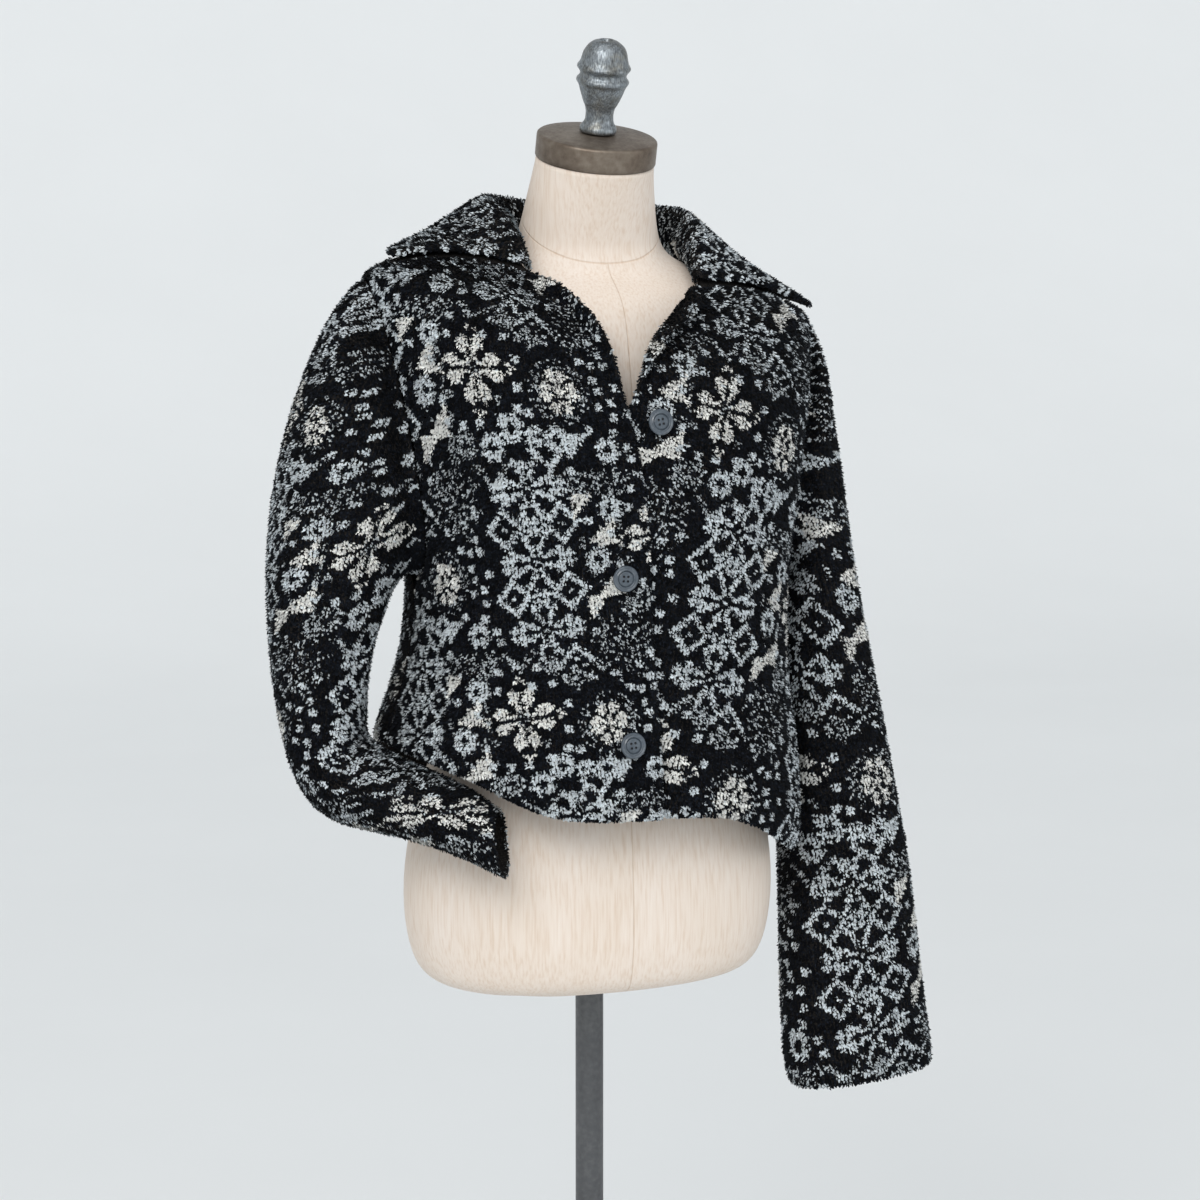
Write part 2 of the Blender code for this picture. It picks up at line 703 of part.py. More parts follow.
def sleeve_nets(loop, table, folds, creases, side):
    """The outer and inner points of a sleeve, from the armhole to the open cuff."""
    start_outer = [point[0] for point in loop]
    start_inner = [point[1] for point in loop]
    near_start, onward = [], []
    for face, back, away in loop:
        normal = (face - back).normalized()
        rise = min(SLEEVE_TURN, max(0.0, math.atan2(normal.x * side, away.x * side)))
        length = SLEEVE_START * (1.0 - 0.45 * rise / SLEEVE_TURN)
        near = face + (away * math.cos(rise) + normal * math.sin(rise)) * length
        near_start.append(near)
        onward.append(near + (away * math.sin(rise) - normal * math.cos(rise)) * WALL)
    shares = loop_shares(start_outer)
    keys = [near_start] + [ring_points(row, shares) for row in named(RING_COLUMNS, table)]
    outer = [start_outer, near_start]
    for k in range(1, SLEEVE_RINGS + 1):
        along = k / SLEEVE_RINGS
        ring = [curve_through([key[c] for key in keys], along) for c in range(len(shares))]
        outer.append(ring)
    normals = net_normals(outer, ring=True)
    if side < 0.0:
        normals = [[-normal for normal in line] for line in normals]
    for r in range(2, len(outer)):
        along = (r - 1) / SLEEVE_RINGS
        for c, share in enumerate(shares):
            move = sleeve_fold(360.0 * share, along, folds, creases)
            outer[r][c] = outer[r][c] + normals[r][c] * move
    normals = net_normals(outer, ring=True)
    if side < 0.0:
        normals = [[-normal for normal in line] for line in normals]
    inner = [start_inner, onward]
    for r in range(2, len(outer)):
        depth = WALL if r < len(outer) - 1 else WALL - 0.0012
        inner.append([point - normal * depth for point, normal in zip(outer[r], normals[r])])
    for _ in range(EASE_PASSES):
        for r in range(2, 6):
            inner[r] = [point * 0.5 + (before + after) * 0.25 for before, point, after in zip(inner[r - 1], inner[r], inner[r + 1])]
    outer[-1] = [point - normal * 0.0012 for point, normal in zip(outer[-1], normals[-1])]
    return outer, inner


def sleeve_fold(degrees, along, folds, creases):
    """How far a sleeve's folds move the cloth in."""
    total = 0.0
    for fold in named(SLEEVE_FOLD_COLUMNS, folds):
        length = (along - fold["low"]) / (fold["high"] - fold["low"])
        if 0.0 < length < 1.0:
            total += fold["depth"] * math.sin(math.pi * length) * bump(turn_between(degrees, fold["degrees"]), fold["spread"])
    for place, depth, spread in creases:
        facing = 0.5 + 0.5 * math.cos(math.radians(turn_between(degrees, 165.0)))
        total += depth * bump(along - place, spread) * facing ** 2
    return total


def collar_nets(front_right, back, front_left):
    """The collar, from notch to notch: a stand on the neck seam, a fold and a fall that lies on the shoulders."""
    notch = len(HEM_STEPS) + len(LOW_SHARES) + FIXED.index(NOTCH_ROW)
    edge = []
    for row in range(notch, ROWS):
        edge.append((front_right[0][row][0], front_right[1][row][0], front_right[0][row][2]))
    for column in range(len(back[0][-1]) - 2, 0, -1):
        edge.append((back[0][-1][column], back[1][-1][column], back[0][-2][column]))
    for row in range(ROWS - 1, notch - 1, -1):
        edge.append((front_left[0][row][0], front_left[1][row][0], front_left[0][row][2]))
    seam = seam_points(edge, closed=False)
    shares = [0.0]
    for k in range(1, len(seam)):
        shares.append(shares[-1] + (seam[k][0] - seam[k - 1][0]).length)
    face, under = [], []
    for k, (outer, inner, _) in enumerate(seam):
        share = shares[k] / shares[-1]
        side = -1.0 if share < 0.5 else 1.0
        table = RIGHT_COLLAR if side < 0.0 else LEFT_COLLAR
        row = read(COLLAR_COLUMNS, table, 2.0 * min(share, 1.0 - share))
        column = collar_column(outer, inner, row, side)
        face.append(column[0])
        under.append(column[1])
    return face, under


def surface_height(x, y):
    """How high the worn outline stands over a place on the shoulders, lifted on the right."""
    low, high = 1.26, BODY[-1][0]
    for _ in range(24):
        middle = (low + high) / 2.0
        row = read(BODY_COLUMNS, BODY, middle)
        depth = row["front"] if y < row["middle_y"] else row["back"]
        across = abs((x - row["middle_x"]) / row["half_width"]) ** row["exponent"]
        if across + abs((y - row["middle_y"]) / depth) ** row["exponent"] < 1.0:
            low = middle
        else:
            high = middle
    return lifted(Vector((x, y, low))).z


def off_the_body(point, gap):
    """The same point, raised where it would come nearer to the shoulders than a gap."""
    return Vector((point.x, point.y, max(point.z, surface_height(point.x, point.y) + gap)))


FALL_SHARES = (0.20, 0.46, 0.73)
COLLAR_EDGE = 0.0022


def collar_column(outer, inner, row, side):
    """One section of the collar: the points of its visible face and of its under face."""
    angle = math.radians(row["degrees"]) * side
    edge_face = body_point(angle, row["height"], COLLAR_SEAT + COLLAR_WALL)
    edge_under = body_point(angle, row["height"], COLLAR_SEAT)
    up = Vector((0.0, 0.0, 1.0))
    radial = Vector((outer.x, outer.y - 0.022, 0.0)).normalized()
    foot, foot_out = inner, outer
    stand = row["stand"]
    grown = smooth(stand / 0.024)
    base_out = foot_out + up * 0.0048
    base = base_out - radial * COLLAR_WALL * (0.60 + 0.25 * grown) - up * 0.0030
    top = base - radial * row["lean"] + up * (stand + 0.0015)
    top_out = base_out - radial * row["lean"] + up * stand
    fold = COLLAR_FOLD * (0.45 + 0.55 * grown)
    crest = top + radial * fold * 0.75 + up * fold
    crest_out = top_out + radial * fold * 0.30 + up * fold * 0.30
    fall = crest + radial * fold * 1.15 - up * fold * 0.30
    way = (edge_under - fall).normalized()
    fall_out = fall + way * 0.002 - (up - way * way.z).normalized() * COLLAR_WALL * 0.9
    if stand < 0.004:
        fall_out = off_the_body(fall_out, COLLAR_SEAT)
    face, under = [foot, base, top, crest, fall], [foot_out, base_out, top_out, crest_out, fall_out]
    for share in FALL_SHARES:
        below = off_the_body(fall_out.lerp(edge_under, share), COLLAR_SEAT * 1.4)
        above = fall.lerp(edge_face, share)
        face.append(Vector((above.x, above.y, max(above.z, below.z + COLLAR_WALL))))
        under.append(below)
    face.append(edge_face)
    under.append(edge_under)
    face.append(edge_face.lerp(edge_under, 0.28) + way * COLLAR_EDGE)
    under.append(edge_face.lerp(edge_under, 0.72) + way * COLLAR_EDGE)
    return face, under


def ring_mesh(name, rings):
    """A closed body through rings of points, capped at both ends by fans."""
    count = len(rings[0])
    points = [point for ring in rings for point in ring]
    faces = []
    for r in range(len(rings) - 1):
        for c in range(count):
            d = (c + 1) % count
            faces.append((r * count + c, r * count + d, (r + 1) * count + d, (r + 1) * count + c))
    for r, flip in ((0, True), (len(rings) - 1, False)):
        middle = sum(rings[r], Vector()) / count
        points.append(middle)
        hub = len(points) - 1
        for c in range(count):
            face = (r * count + c, r * count + (c + 1) % count, hub)
            faces.append(face[::-1] if flip else face)
    mesh = bpy.data.meshes.new(name)
    mesh.from_pydata([tuple(point) for point in points], [], faces)
    return outward(mesh)


FORM_SIDES = 26


def form_ring(half_width, front, back, middle_y, height, tilt=0.0, squareness=2.0):
    """A level or tilted ring of the form."""
    ring = []
    power = 2.0 / squareness
    for k in range(FORM_SIDES):
        angle = 2.0 * math.pi * k / FORM_SIDES
        depth = front if math.cos(angle) > 0.0 else back
        x = half_width * signed_power(math.sin(angle), power)
        y = -depth * signed_power(math.cos(angle), power)
        ring.append(Vector((x, middle_y + y * math.cos(tilt), height + y * math.sin(tilt))))
    return ring


def make_torso(finish, collection):
    """The covered body of the form: hips, waist, chest, shoulders that carry the cloth, and neck."""
    rings = []
    for row in named(TORSO_COLUMNS, TORSO):
        ring = form_ring(row["half_width"], row["front"], row["back"], row["middle_y"], row["height"], squareness=2.2)
        rings.append(ring)
    for height in SHOULDER_LEVELS:
        row = read(BODY_COLUMNS, BODY, height)
        drop = WALL + FORM_CLEARANCE
        normal = body_normal(math.pi / 2.0, height)
        level = height - drop * normal.z
        half = row["half_width"] - drop * normal.x
        slack = drop + FORM_SLACK
        rings.append(form_ring(half, row["front"] - slack, row["back"] - slack, row["middle_y"], level))
    for row in named(NECK_COLUMNS, NECK):
        tilt = math.radians(row["tilt"])
        rings.append(form_ring(row["half_width"], row["front"], row["back"], row["middle_y"], row["height"], tilt))
    top = CAP_CENTRE - cap_axis() * SEAM
    last = form_ring(CAP_RADIUS - 0.001, CAP_RADIUS - 0.001, CAP_RADIUS - 0.001, top.y, top.z, CAP_TILT)
    rings.append(last)
    add_object("form_torso", ring_mesh("form_torso", rings), finish, collection)


def cap_axis():
    """The way the neck's cap faces: up, and a little to the front."""
    return Vector((0.0, -math.sin(CAP_TILT), math.cos(CAP_TILT)))


def turned(name, profile, steps, finish, collection, place=Vector(), tilt=0.0):
    """A turned piece: its profile of radius and height, from the top down its outer side, spun round the axis."""
    mesh = bpy.data.meshes.new(name)
    points = [(radius, 0.0, height) for radius, height in profile]
    mesh.from_pydata(points, [(k, k + 1) for k in range(len(points) - 1)], [])
    made = bpy.data.objects.new(name, mesh)
    mesh.materials.append(finish)
    collection.objects.link(made)
    screw = made.modifiers.new("Turn", "SCREW")
    screw.steps = steps
    screw.render_steps = steps
    screw.use_merge_vertices = True
    screw.merge_threshold = 0.00001
    screw.use_smooth_shade = True
    made.location = place
    made.rotation_euler = (tilt, 0.0, 0.0)
    return made


def arc(centre_radius, centre_height, size, start, end, count):
    """Points of a round stretch of a profile, by degrees from straight out to straight up."""
    points = []
    for k in range(count + 1):
        angle = math.radians(start + (end - start) * k / count)
        points.append((centre_radius + size * math.cos(angle), centre_height + size * math.sin(angle)))
    return points


def make_cap_and_finial(cap_finish, finial_finish, collection):
    """The neck's metal cap, and the turned finial that screws into it."""
    edge = 0.004
    height = 0.021
    profile = [(0.0, height + 0.003), (CAP_RADIUS - 0.018, height + 0.0022)]
    profile += arc(CAP_RADIUS - edge, height - edge, edge, 80.0, 0.0, 3)
    profile += [(CAP_RADIUS, 0.0), (0.0, 0.0)]
    turned("form_cap", profile, 32, cap_finish, collection, CAP_CENTRE, CAP_TILT)
    foot = CAP_CENTRE + cap_axis() * (height + 0.003 + SEAM)
    finial = [(0.0, 0.0810)]
    finial += [(0.0060, 0.0810), (0.0130, 0.0790), (0.0185, 0.0740), (0.0218, 0.0680), (0.0228, 0.0630)]
    finial += [(0.0250, 0.0605), (0.0250, 0.0565), (0.0232, 0.0545), (0.0232, 0.0515), (0.0252, 0.0490)]
    finial += [(0.0250, 0.0445), (0.0215, 0.0390), (0.0160, 0.0315), (0.0122, 0.0235), (0.0112, 0.0150)]
    finial += [(0.0125, 0.0085), (0.0172, 0.0060), (0.0180, 0.0035), (0.0170, 0.0), (0.0, 0.0)]
    turned("form_finial", finial, 20, finial_finish, collection, foot, CAP_TILT)


def make_stand(finish, collection):
    """The pole under the torso and the heavy round base."""
    bpy.ops.mesh.primitive_cylinder_add(
        vertices=24,
        radius=POLE_RADIUS,
        depth=TORSO_BOTTOM - BASE_TOP - 2.0 * SEAM,
        location=(0.0, 0.018, (TORSO_BOTTOM + BASE_TOP) / 2.0),
    )
    pole = bpy.context.object
    pole.name = "form_pole"
    pole.data.materials.append(finish)
    pole.data.shade_smooth()
    pole.data.set_sharp_from_angle(angle=math.radians(40.0))
    for other in list(pole.users_collection):
        other.objects.unlink(pole)
    collection.objects.link(pole)
    profile = [(0.0, BASE_TOP), (0.028, BASE_TOP), (0.034, BASE_TOP - 0.006), (0.120, 0.0130)]
    profile += arc(BASE_RADIUS - 0.005, 0.005, 0.005, 80.0, -60.0, 4)
    profile += [(BASE_RADIUS - 0.008, 0.0), (0.0, 0.0)]
    turned("form_base", profile, 40, finish, collection)


def make_button(name, place, normal, finish, collection, cutters):
    """A round four-hole button with two raised rims, its back on the cloth."""
    r = BUTTON_RADIUS
    profile = [(0.0, 0.0021), (0.0046, 0.0021), (0.0054, 0.0032), (0.0066, 0.0032), (0.0074, 0.0026)]
    profile += [(r - 0.0024, 0.0029), (r - 0.0012, 0.0038), (r - 0.0002, 0.0026), (r - 0.0010, 0.0006)]
    profile += [(r - 0.0034, 0.0), (0.0, 0.0)]
    made = turned(name, profile, 18, finish, collection)
    made.rotation_mode = "QUATERNION"
    made.rotation_quaternion = normal.to_track_quat("Z", "Y")
    made.location = place
    for k in range(4):
        turn = math.radians(45.0 + 90.0 * k)
        at = Vector((0.0021 * math.cos(turn), 0.0021 * math.sin(turn), 0.0015))
        bpy.ops.mesh.primitive_cylinder_add(vertices=8, radius=0.0009, depth=0.008)
        hole = bpy.context.object
        hole.name = name + "_hole_" + str(k + 1)
        hole.rotation_mode = "QUATERNION"
        hole.rotation_quaternion = made.rotation_quaternion
        hole.location = place + made.rotation_quaternion @ at
        hole.display_type = "WIRE"
        hole.hide_render = True
        for other in list(hole.users_collection):
            other.objects.unlink(hole)
        cutters.objects.link(hole)
        cut = made.modifiers.new("Hole " + str(k + 1), "BOOLEAN")
        cut.operation = "DIFFERENCE"
        cut.object = hole
    return made


def main():
    for old in list(bpy.data.objects):
        bpy.data.objects.remove(old)
    collection = bpy.data.collections.new("Cardigan on a dress form")
    cutters = bpy.data.collections.new("Cutters")
    bpy.context.scene.collection.children.link(collection)
    bpy.context.scene.collection.children.link(cutters)
    pile = material("Pile cloth", (0.16, 0.16, 0.18), 0.95)
    sleeve_pile = material("Sleeve pile cloth", (0.12, 0.12, 0.14), 0.95)
    collar_pile = material("Collar pile cloth", (0.30, 0.30, 0.31), 0.95)
    plastic = material("Button plastic", (0.16, 0.19, 0.23), 0.35)
    linen = material("Form cover", (0.78, 0.70, 0.60), 0.85)
    bronze = material("Bronze cap", (0.20, 0.15, 0.11), 0.35, 0.9)
    pewter = material("Cast finial", (0.42, 0.42, 0.42), 0.4, 0.9)
    iron = material("Stand iron", (0.05, 0.05, 0.05), 0.5, 0.7)

    right = front_rows(-1.0, RIGHT_EDGE_COLUMNS, RIGHT_EDGE, RIGHT_STRIP, under=False)
    left = front_rows(1.0, LEFT_EDGE_COLUMNS, LEFT_EDGE, LEFT_STRIP, under=True)
    back = back_rows()
    add_object("front_right", outward(wall_mesh("front_right", *right)), pile, collection)
    add_object("front_left", outward(wall_mesh("front_left", *left)), pile, collection)
    add_object("back", outward(wall_mesh("back", *back)), pile, collection)

    left_loop = armhole_loop(left, back, 0, 1)
    right_loop = armhole_loop(right, back, -1, -2)
    nets = sleeve_nets(left_loop, LEFT_SLEEVE, LEFT_SLEEVE_FOLDS, (), 1.0)
    add_object("sleeve_left", outward(wall_mesh("sleeve_left", *nets, ring=True)), sleeve_pile, collection)
    nets = sleeve_nets(right_loop, RIGHT_SLEEVE, RIGHT_SLEEVE_FOLDS, ELBOW_CREASES, -1.0)
    add_object("sleeve_right", outward(wall_mesh("sleeve_right", *nets, ring=True)), sleeve_pile, collection)
    nets = collar_nets(right, back, left)
    add_object("collar", outward(wall_mesh("collar", *nets)), collar_pile, collection)

    for k, row in enumerate(named(BUTTON_COLUMNS, BUTTONS)):
        angle = angle_at_x(row["x"], row["height"])
        seat = body_point(angle, row["height"], row["seat"])
        name = "button_" + str(k + 1)
        make_button(name, seat, body_normal(angle, row["height"]), plastic, collection, cutters)

    make_torso(linen, collection)
    make_cap_and_finial(bronze, pewter, collection)
    make_stand(iron, collection)


main()
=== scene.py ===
"""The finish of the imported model: a cardigan of pile cloth in a traditional star and flower pattern,
worn by a limbless dress form."""
import math

import bmesh
import bpy
import numpy as np
from mathutils import Matrix, Vector
from mathutils.bvhtree import BVHTree


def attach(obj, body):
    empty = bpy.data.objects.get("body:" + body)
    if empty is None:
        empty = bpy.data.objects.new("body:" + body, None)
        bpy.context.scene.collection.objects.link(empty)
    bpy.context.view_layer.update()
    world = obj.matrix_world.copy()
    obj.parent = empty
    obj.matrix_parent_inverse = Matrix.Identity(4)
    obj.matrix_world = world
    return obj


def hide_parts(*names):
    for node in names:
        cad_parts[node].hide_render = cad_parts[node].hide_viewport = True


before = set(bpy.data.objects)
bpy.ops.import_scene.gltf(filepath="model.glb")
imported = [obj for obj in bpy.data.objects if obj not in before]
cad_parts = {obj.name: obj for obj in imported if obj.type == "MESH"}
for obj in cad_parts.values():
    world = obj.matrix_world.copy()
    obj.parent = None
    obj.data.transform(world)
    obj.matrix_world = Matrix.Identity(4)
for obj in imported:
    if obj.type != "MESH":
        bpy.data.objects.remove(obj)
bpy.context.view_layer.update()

# ---- camera and its place
AIM = Vector((0.003, 0.0, 1.074))
AZIMUTH, ELEVATION, DISTANCE = -22.0, 7.1, 3.02
SENSOR = 36.0
LENS = SENSOR * 3433.0 / 1200.0  # a focal length of 3433 pixels in a picture 1200 wide

# ---- cloth
NAP_LENGTH = 0.0035  # a tuft of pile, from its root
NAP_WIDTH = 0.0019
CLOTH_SET_IN = 0.0012  # the knitted ground lies this far under the outline that the pile reaches

# The worn outline in millimetres: height, half width, depth before and behind the middle; and its squareness
BODY = np.array((
    (820, 178, 136, 124, 2.5), (855, 189, 148, 134, 2.5), (900, 193, 154, 138, 2.5), (950, 190, 154, 136, 2.5),
    (1000, 178, 150, 128, 2.5), (1050, 170, 149, 119, 2.5), (1100, 169, 150, 112, 2.5), (1150, 178, 152, 111, 2.45),
    (1200, 189, 151, 112, 2.4), (1250, 198, 146, 112, 2.35), (1290, 203, 134, 106, 2.25),
    (1322, 206.5, 112, 94, 2.1), (1338, 180, 99, 85, 2), (1351, 151, 86, 76, 2), (1363, 121, 71, 66, 2),
    (1374, 92, 55, 56, 2), (1395, 70, 45, 46, 2),
)) / (1000, 1000, 1000, 1000, 1)
BODY_MIDDLE_Y = 0.0205

# The sleeves' middle lines from the armhole to the cuff:
# place and half width in millimetres, lean and turn in degrees, depth before and behind in millimetres
SLEEVE_UNITS = (1000, 1000, 1000, 1000, 1, 1, 1000, 1000)
LEFT_SLEEVE = np.array((
    (199.9, 21, 1203.3, 103.3, -80.6, 0, 59, 59), (203.8, 21, 1173.5, 83.8, -77, 0, 59, 59),
    (209.5, 21, 1134.7, 64.9, -66.8, 0, 59, 59), (212.2, 21, 1085, 46.8, -43.2, 0, 61, 60),
    (221, 21, 1022.5, 45.5, -23.6, 2, 60, 58), (234, 23, 952.5, 48.8, -15.5, 4, 58, 55),
    (245.5, 25, 881, 54.4, -10.1, 6, 55, 51), (256.5, 27, 803, 63.9, -6.8, 8, 51, 47),
    (263, 28, 722, 70.3, -5.3, 8, 47, 43), (269.5, 28, 660, 74.7, -4.1, 8, 44, 40),
    (274, 28, 630, 76.2, -4, 8, 41, 38), (277, 28, 614, 75.1, -3.3, 8, 38, 35),
)) / SLEEVE_UNITS
RIGHT_SLEEVE = np.array((
    (-203.2, 21, 1217.7, 119.4, -76.8, 0, 60, 60), (-217.5, 21, 1190.1, 101.8, -69, 0, 61, 61),
    (-231.9, 21, 1156.3, 81.5, -57.9, 0, 61, 61), (-241, 21, 1113, 62, -39.5, 0, 62, 62),
    (-248, 20, 1070, 49.5, -25.8, 4, 61, 60), (-249.5, 20, 1023, 42, -8, 10, 59, 57),
    (-246.5, 18, 985, 39, 10, 18, 55, 54), (-243.5, 12, 957, 37.5, 30, 26, 52, 51),
    (-236, 2, 938, 38, 54, 33, 50, 48), (-226, -10, 929, 37, 73, 37, 48, 45), (-211, -26, 923, 34, 86, 38, 46, 42),
    (-188, -52, 916, 31.5, 92, 36, 42, 36), (-158, -82, 905, 31, 94, 33, 37, 31),
    (-127, -108, 884, 30, 95, 30, 33, 28),
)) / SLEEVE_UNITS

# Where the chart's big star lies on each piece: metres round the cloth and up it,
# the chart's turn in degrees, and the size of a stitch there
CHART_PLACES = {
    "front_right": (-0.1562, -0.012, 8.9, 0.00307),
    "front_left": (0.070, -0.022, -13.5, 0.00350),
    "back": (0.03, 0.02, 0.0, 0.00330),
    "sleeve_left": (-0.075, -0.296, 6.4, 0.00388),
    "sleeve_right": (-0.1365, 0.0538, 0.0, 0.00335),
    "collar": (-0.182, 0.117, 0.0, 0.00310),
}
SLEEVES = {"sleeve_left": LEFT_SLEEVE, "sleeve_right": RIGHT_SLEEVE}


# ---- the chart
# The chart repeats 44 stitches across, each repeat a half drop, and 88 down. Its motifs are charted one by one.
ACROSS, DOWN = 44, 88
GROUND, MID, LIGHT, WHITE = 0, 1, 2, 3

ROSE = (  # a quarter's petals of the big star: stitches beside the axis, and above the middle
    (1, 2), (1, 3), (1, 4), (2, 4), (1, 5), (2, 5), (3, 5), (1, 6), (2, 6), (3, 6), (1, 7), (2, 7), (3, 7), (2, 8),
    (1, 10), (0, 11),
)
ROSE_HEART = ((0, 0), (1, 1))
SNOWFLAKE = ((0, 0), (1, 2), (1, 3), (1, 4), (2, 4), (2, 5), (2, 6), (3, 6), (3, 7))
FINE_STAR = (
    (0, 0), (1, 1), (2, 2), (1, 3), (1, 4), (1, 5), (2, 6), (2, 7), (3, 8), (3, 9), (3, 3), (4, 4), (0, 6), (0, 7),
    (4, 6), (5, 7),
)


def mirrored(*rows):
    """A motif from its upper rows, of which the last is its middle."""
    return rows + rows[-2::-1]


SMALL_FLOWER = mirrored("..#.#..", ".#####.", "###.###", ".#...#.")
BUD = mirrored(".#.#.", "#####", ".#.#.")
RING_DIAMOND = mirrored(".....#.....", "....###....", "...##.##...", "..##...##..", ".##.....##.", "##...#...##")
LITTLE_DIAMOND = mirrored("...#...", "..###..", ".##.##.", "##...##")
PETALS = mirrored("...##.##...", "..###.###..", "...##.##...", ".##..#..##.", "####.#.####", ".##.###.##.")
HALO = mirrored(
    "......#.#.#......", "....#.......#....", "...#.#.#.#.#.#...", "..#...........#..", ".#.#.........#.#.",
    "..#...........#..", "#.#...........#.#", ".#.............#.", "#.#...........#.#",
)
CHEVRON = ("##.......##", ".##.....##.", "..##...##..", "...##.##...", "....###....", ".....#.....")
ROOF = (
    "......#......", ".....###.....", "....##.##....", "...##...##...", "..##..#..##..", ".##.......##.",
    "##..#...#..##", "#...........#", "..#...#...#..", "...#.#.#.#...", "..#.#...#.#..",
)
SAIL = ("......#", ".....##", "...####", "..#####", ".######", "#######", "..#####")
PENNANT = tuple("#" * wide + "." * (7 - wide) for wide in range(6, 0, -1))
GROUND_DOTS = (
    "#..#..#.#..#..#..#.", ".##.##.##.##..##.#.", "#.##.#..##.#.##.#.#", ".#..##.##..##.#.##.",
    "##.##..#.##..##.#..", ".#.#.##.#.#.##..#.#", "#..#..#..#..#..#...",
)
DOT = ("##", "##")

# Motif, its yarn, and its stitches across and down from the star
LAYOUT = (
    (HALO, MID, ((23, 5),)),
    (PETALS, WHITE, ((23, 5),)),
    (SMALL_FLOWER, LIGHT, ((8, 14), (20, 17), (2, 18), (34, 20), (32, 35), (27, 48))),
    (CHEVRON, MID, ((1, 25), (1, 73))),
    (BUD, LIGHT, ((14, 16), (2, 28), (18, 28), (10, 37), (2, 46), (18, 46), (10, 56), (2, 65), (18, 65))),
    (PENNANT, LIGHT, ((26, 19),)),
    (SMALL_FLOWER, MID, ((-6, 17),)),
    (CHEVRON, LIGHT, ((17, 22),)),
    (RING_DIAMOND, LIGHT, ((2, 37), (18, 37), (2, 55), (18, 55))),
    (ROOF, LIGHT, ((17, 75),)),
    (BUD, MID, ((9, 74), (34, 62), (10, -13))),
    (GROUND_DOTS, MID, ((30, 28),)),
    (PENNANT, WHITE, ((25, 34), (26, 61))),
    (SAIL, WHITE, ((29, 41), (30, 55))),
    (LITTLE_DIAMOND, MID, ((16, -9),)),
)
LINES = (  # a line of stitches: from, to, yarn
    (23, 42, 24, 50, MID), (24, 50, 28, 55, MID), (24, 62, 27, 72, MID), (35, 31, 34, 44, MID),
    (34, 44, 32, 52, MID), (35, 54, 33, 62, MID),
)
DOTS = (
    (-10, 12), (-5, 13), (0, 13), (6, 12), (11, 10), (-11, 7), (12, 5), (13, -2), (-12, -2), (-10, -8), (6, -13),
    (-5, -13), (0, -14), (31, -3), (14, 11), (34, 9), (10, 23), (23, 25), (-6, 33), (-7, 60), (24, 68), (-6, 80),
    (4, 80), (10, 80), (40, 20), (30, 15), (38, 12), (34, -9), (27, -8), (40, 4),
)


def chart_cell(u, v):
    """The chart's own column and row of a stitch counted from the star; each repeat across drops by half."""
    repeat = np.floor_divide(u, ACROSS)
    return (u - repeat * ACROSS).astype(int), np.mod(v + repeat * (DOWN // 2), DOWN).astype(int)


def draw_chart():
    """The whole repeat as rows of yarn numbers."""
    chart = np.zeros((DOWN, ACROSS), int)

    def stitch(u, v, yarn):
        column, row = chart_cell(np.array(u), np.array(v))
        chart[row, column] = yarn

    def put_rows(rows, u, v, yarn):
        left, top = u - len(rows[0]) // 2, v - len(rows) // 2
        for j, row in enumerate(rows):
            for i, mark in enumerate(row):
                if mark == "#":
                    stitch(left + i, top + j, yarn)

    def put_star(quarter, u, v, yarn):
        for across, up in quarter:
            for a, b in ((across, up), (up, across)):
                for x in (a, -a):
                    for y in (b, -b):
                        stitch(u + x, v + y, yarn)

    for u0, v0, u1, v1, yarn in LINES:
        steps = max(abs(u1 - u0), abs(v1 - v0))
        for k in range(steps + 1):
            share = k / steps
            if k % 4 != 3:  # each fourth stitch is left plain
                stitch(round(u0 + (u1 - u0) * share), round(v0 + (v1 - v0) * share), yarn)
    for rows, yarn, places in LAYOUT:
        for u, v in places:
            put_rows(rows, u, v, yarn)
    for u, v in DOTS:
        put_rows(DOT, u, v, LIGHT)
    for v in (28, 46, 65):  # a column of snowflakes
        put_star(SNOWFLAKE, 10, v, LIGHT)
    put_star(FINE_STAR, 31, 73, MID)
    put_star(ROSE, 0, 0, WHITE)
    put_star(ROSE_HEART, 0, 0, MID)
    # Small dots in what is still plain, each clear of its neighbours.
    for v in range(1, DOWN, 3):
        for u in range(v % 2, ACROSS, 2):
            near = [chart_cell(np.array(u + i), np.array(v + j)) for i in range(-1, 4) for j in range(-1, 4)]
            if all(chart[row, column] == GROUND for column, row in near):
                put_rows(DOT, u + 1, v + 1, LIGHT if (u + v) % 3 else MID)
    return chart


# ---- places on the cloth
def smooth_step(value):
    value = np.clip(value, 0.0, 1.0)
    return value * value * (3.0 - 2.0 * value)


def grid_read(grid, i, j):
    """A table read between its entries; i and j are places in rows and columns."""
    i = np.clip(i, 0.0, grid.shape[0] - 1.001)
    j = np.clip(j, 0.0, grid.shape[1] - 1.001)
    a, b = i.astype(int), j.astype(int)
    x, y = i - a, j - b
    near, far = (grid[a, k] * (1 - x) + grid[a + 1, k] * x for k in (b, b + 1))
    return near * (1 - y) + far * y


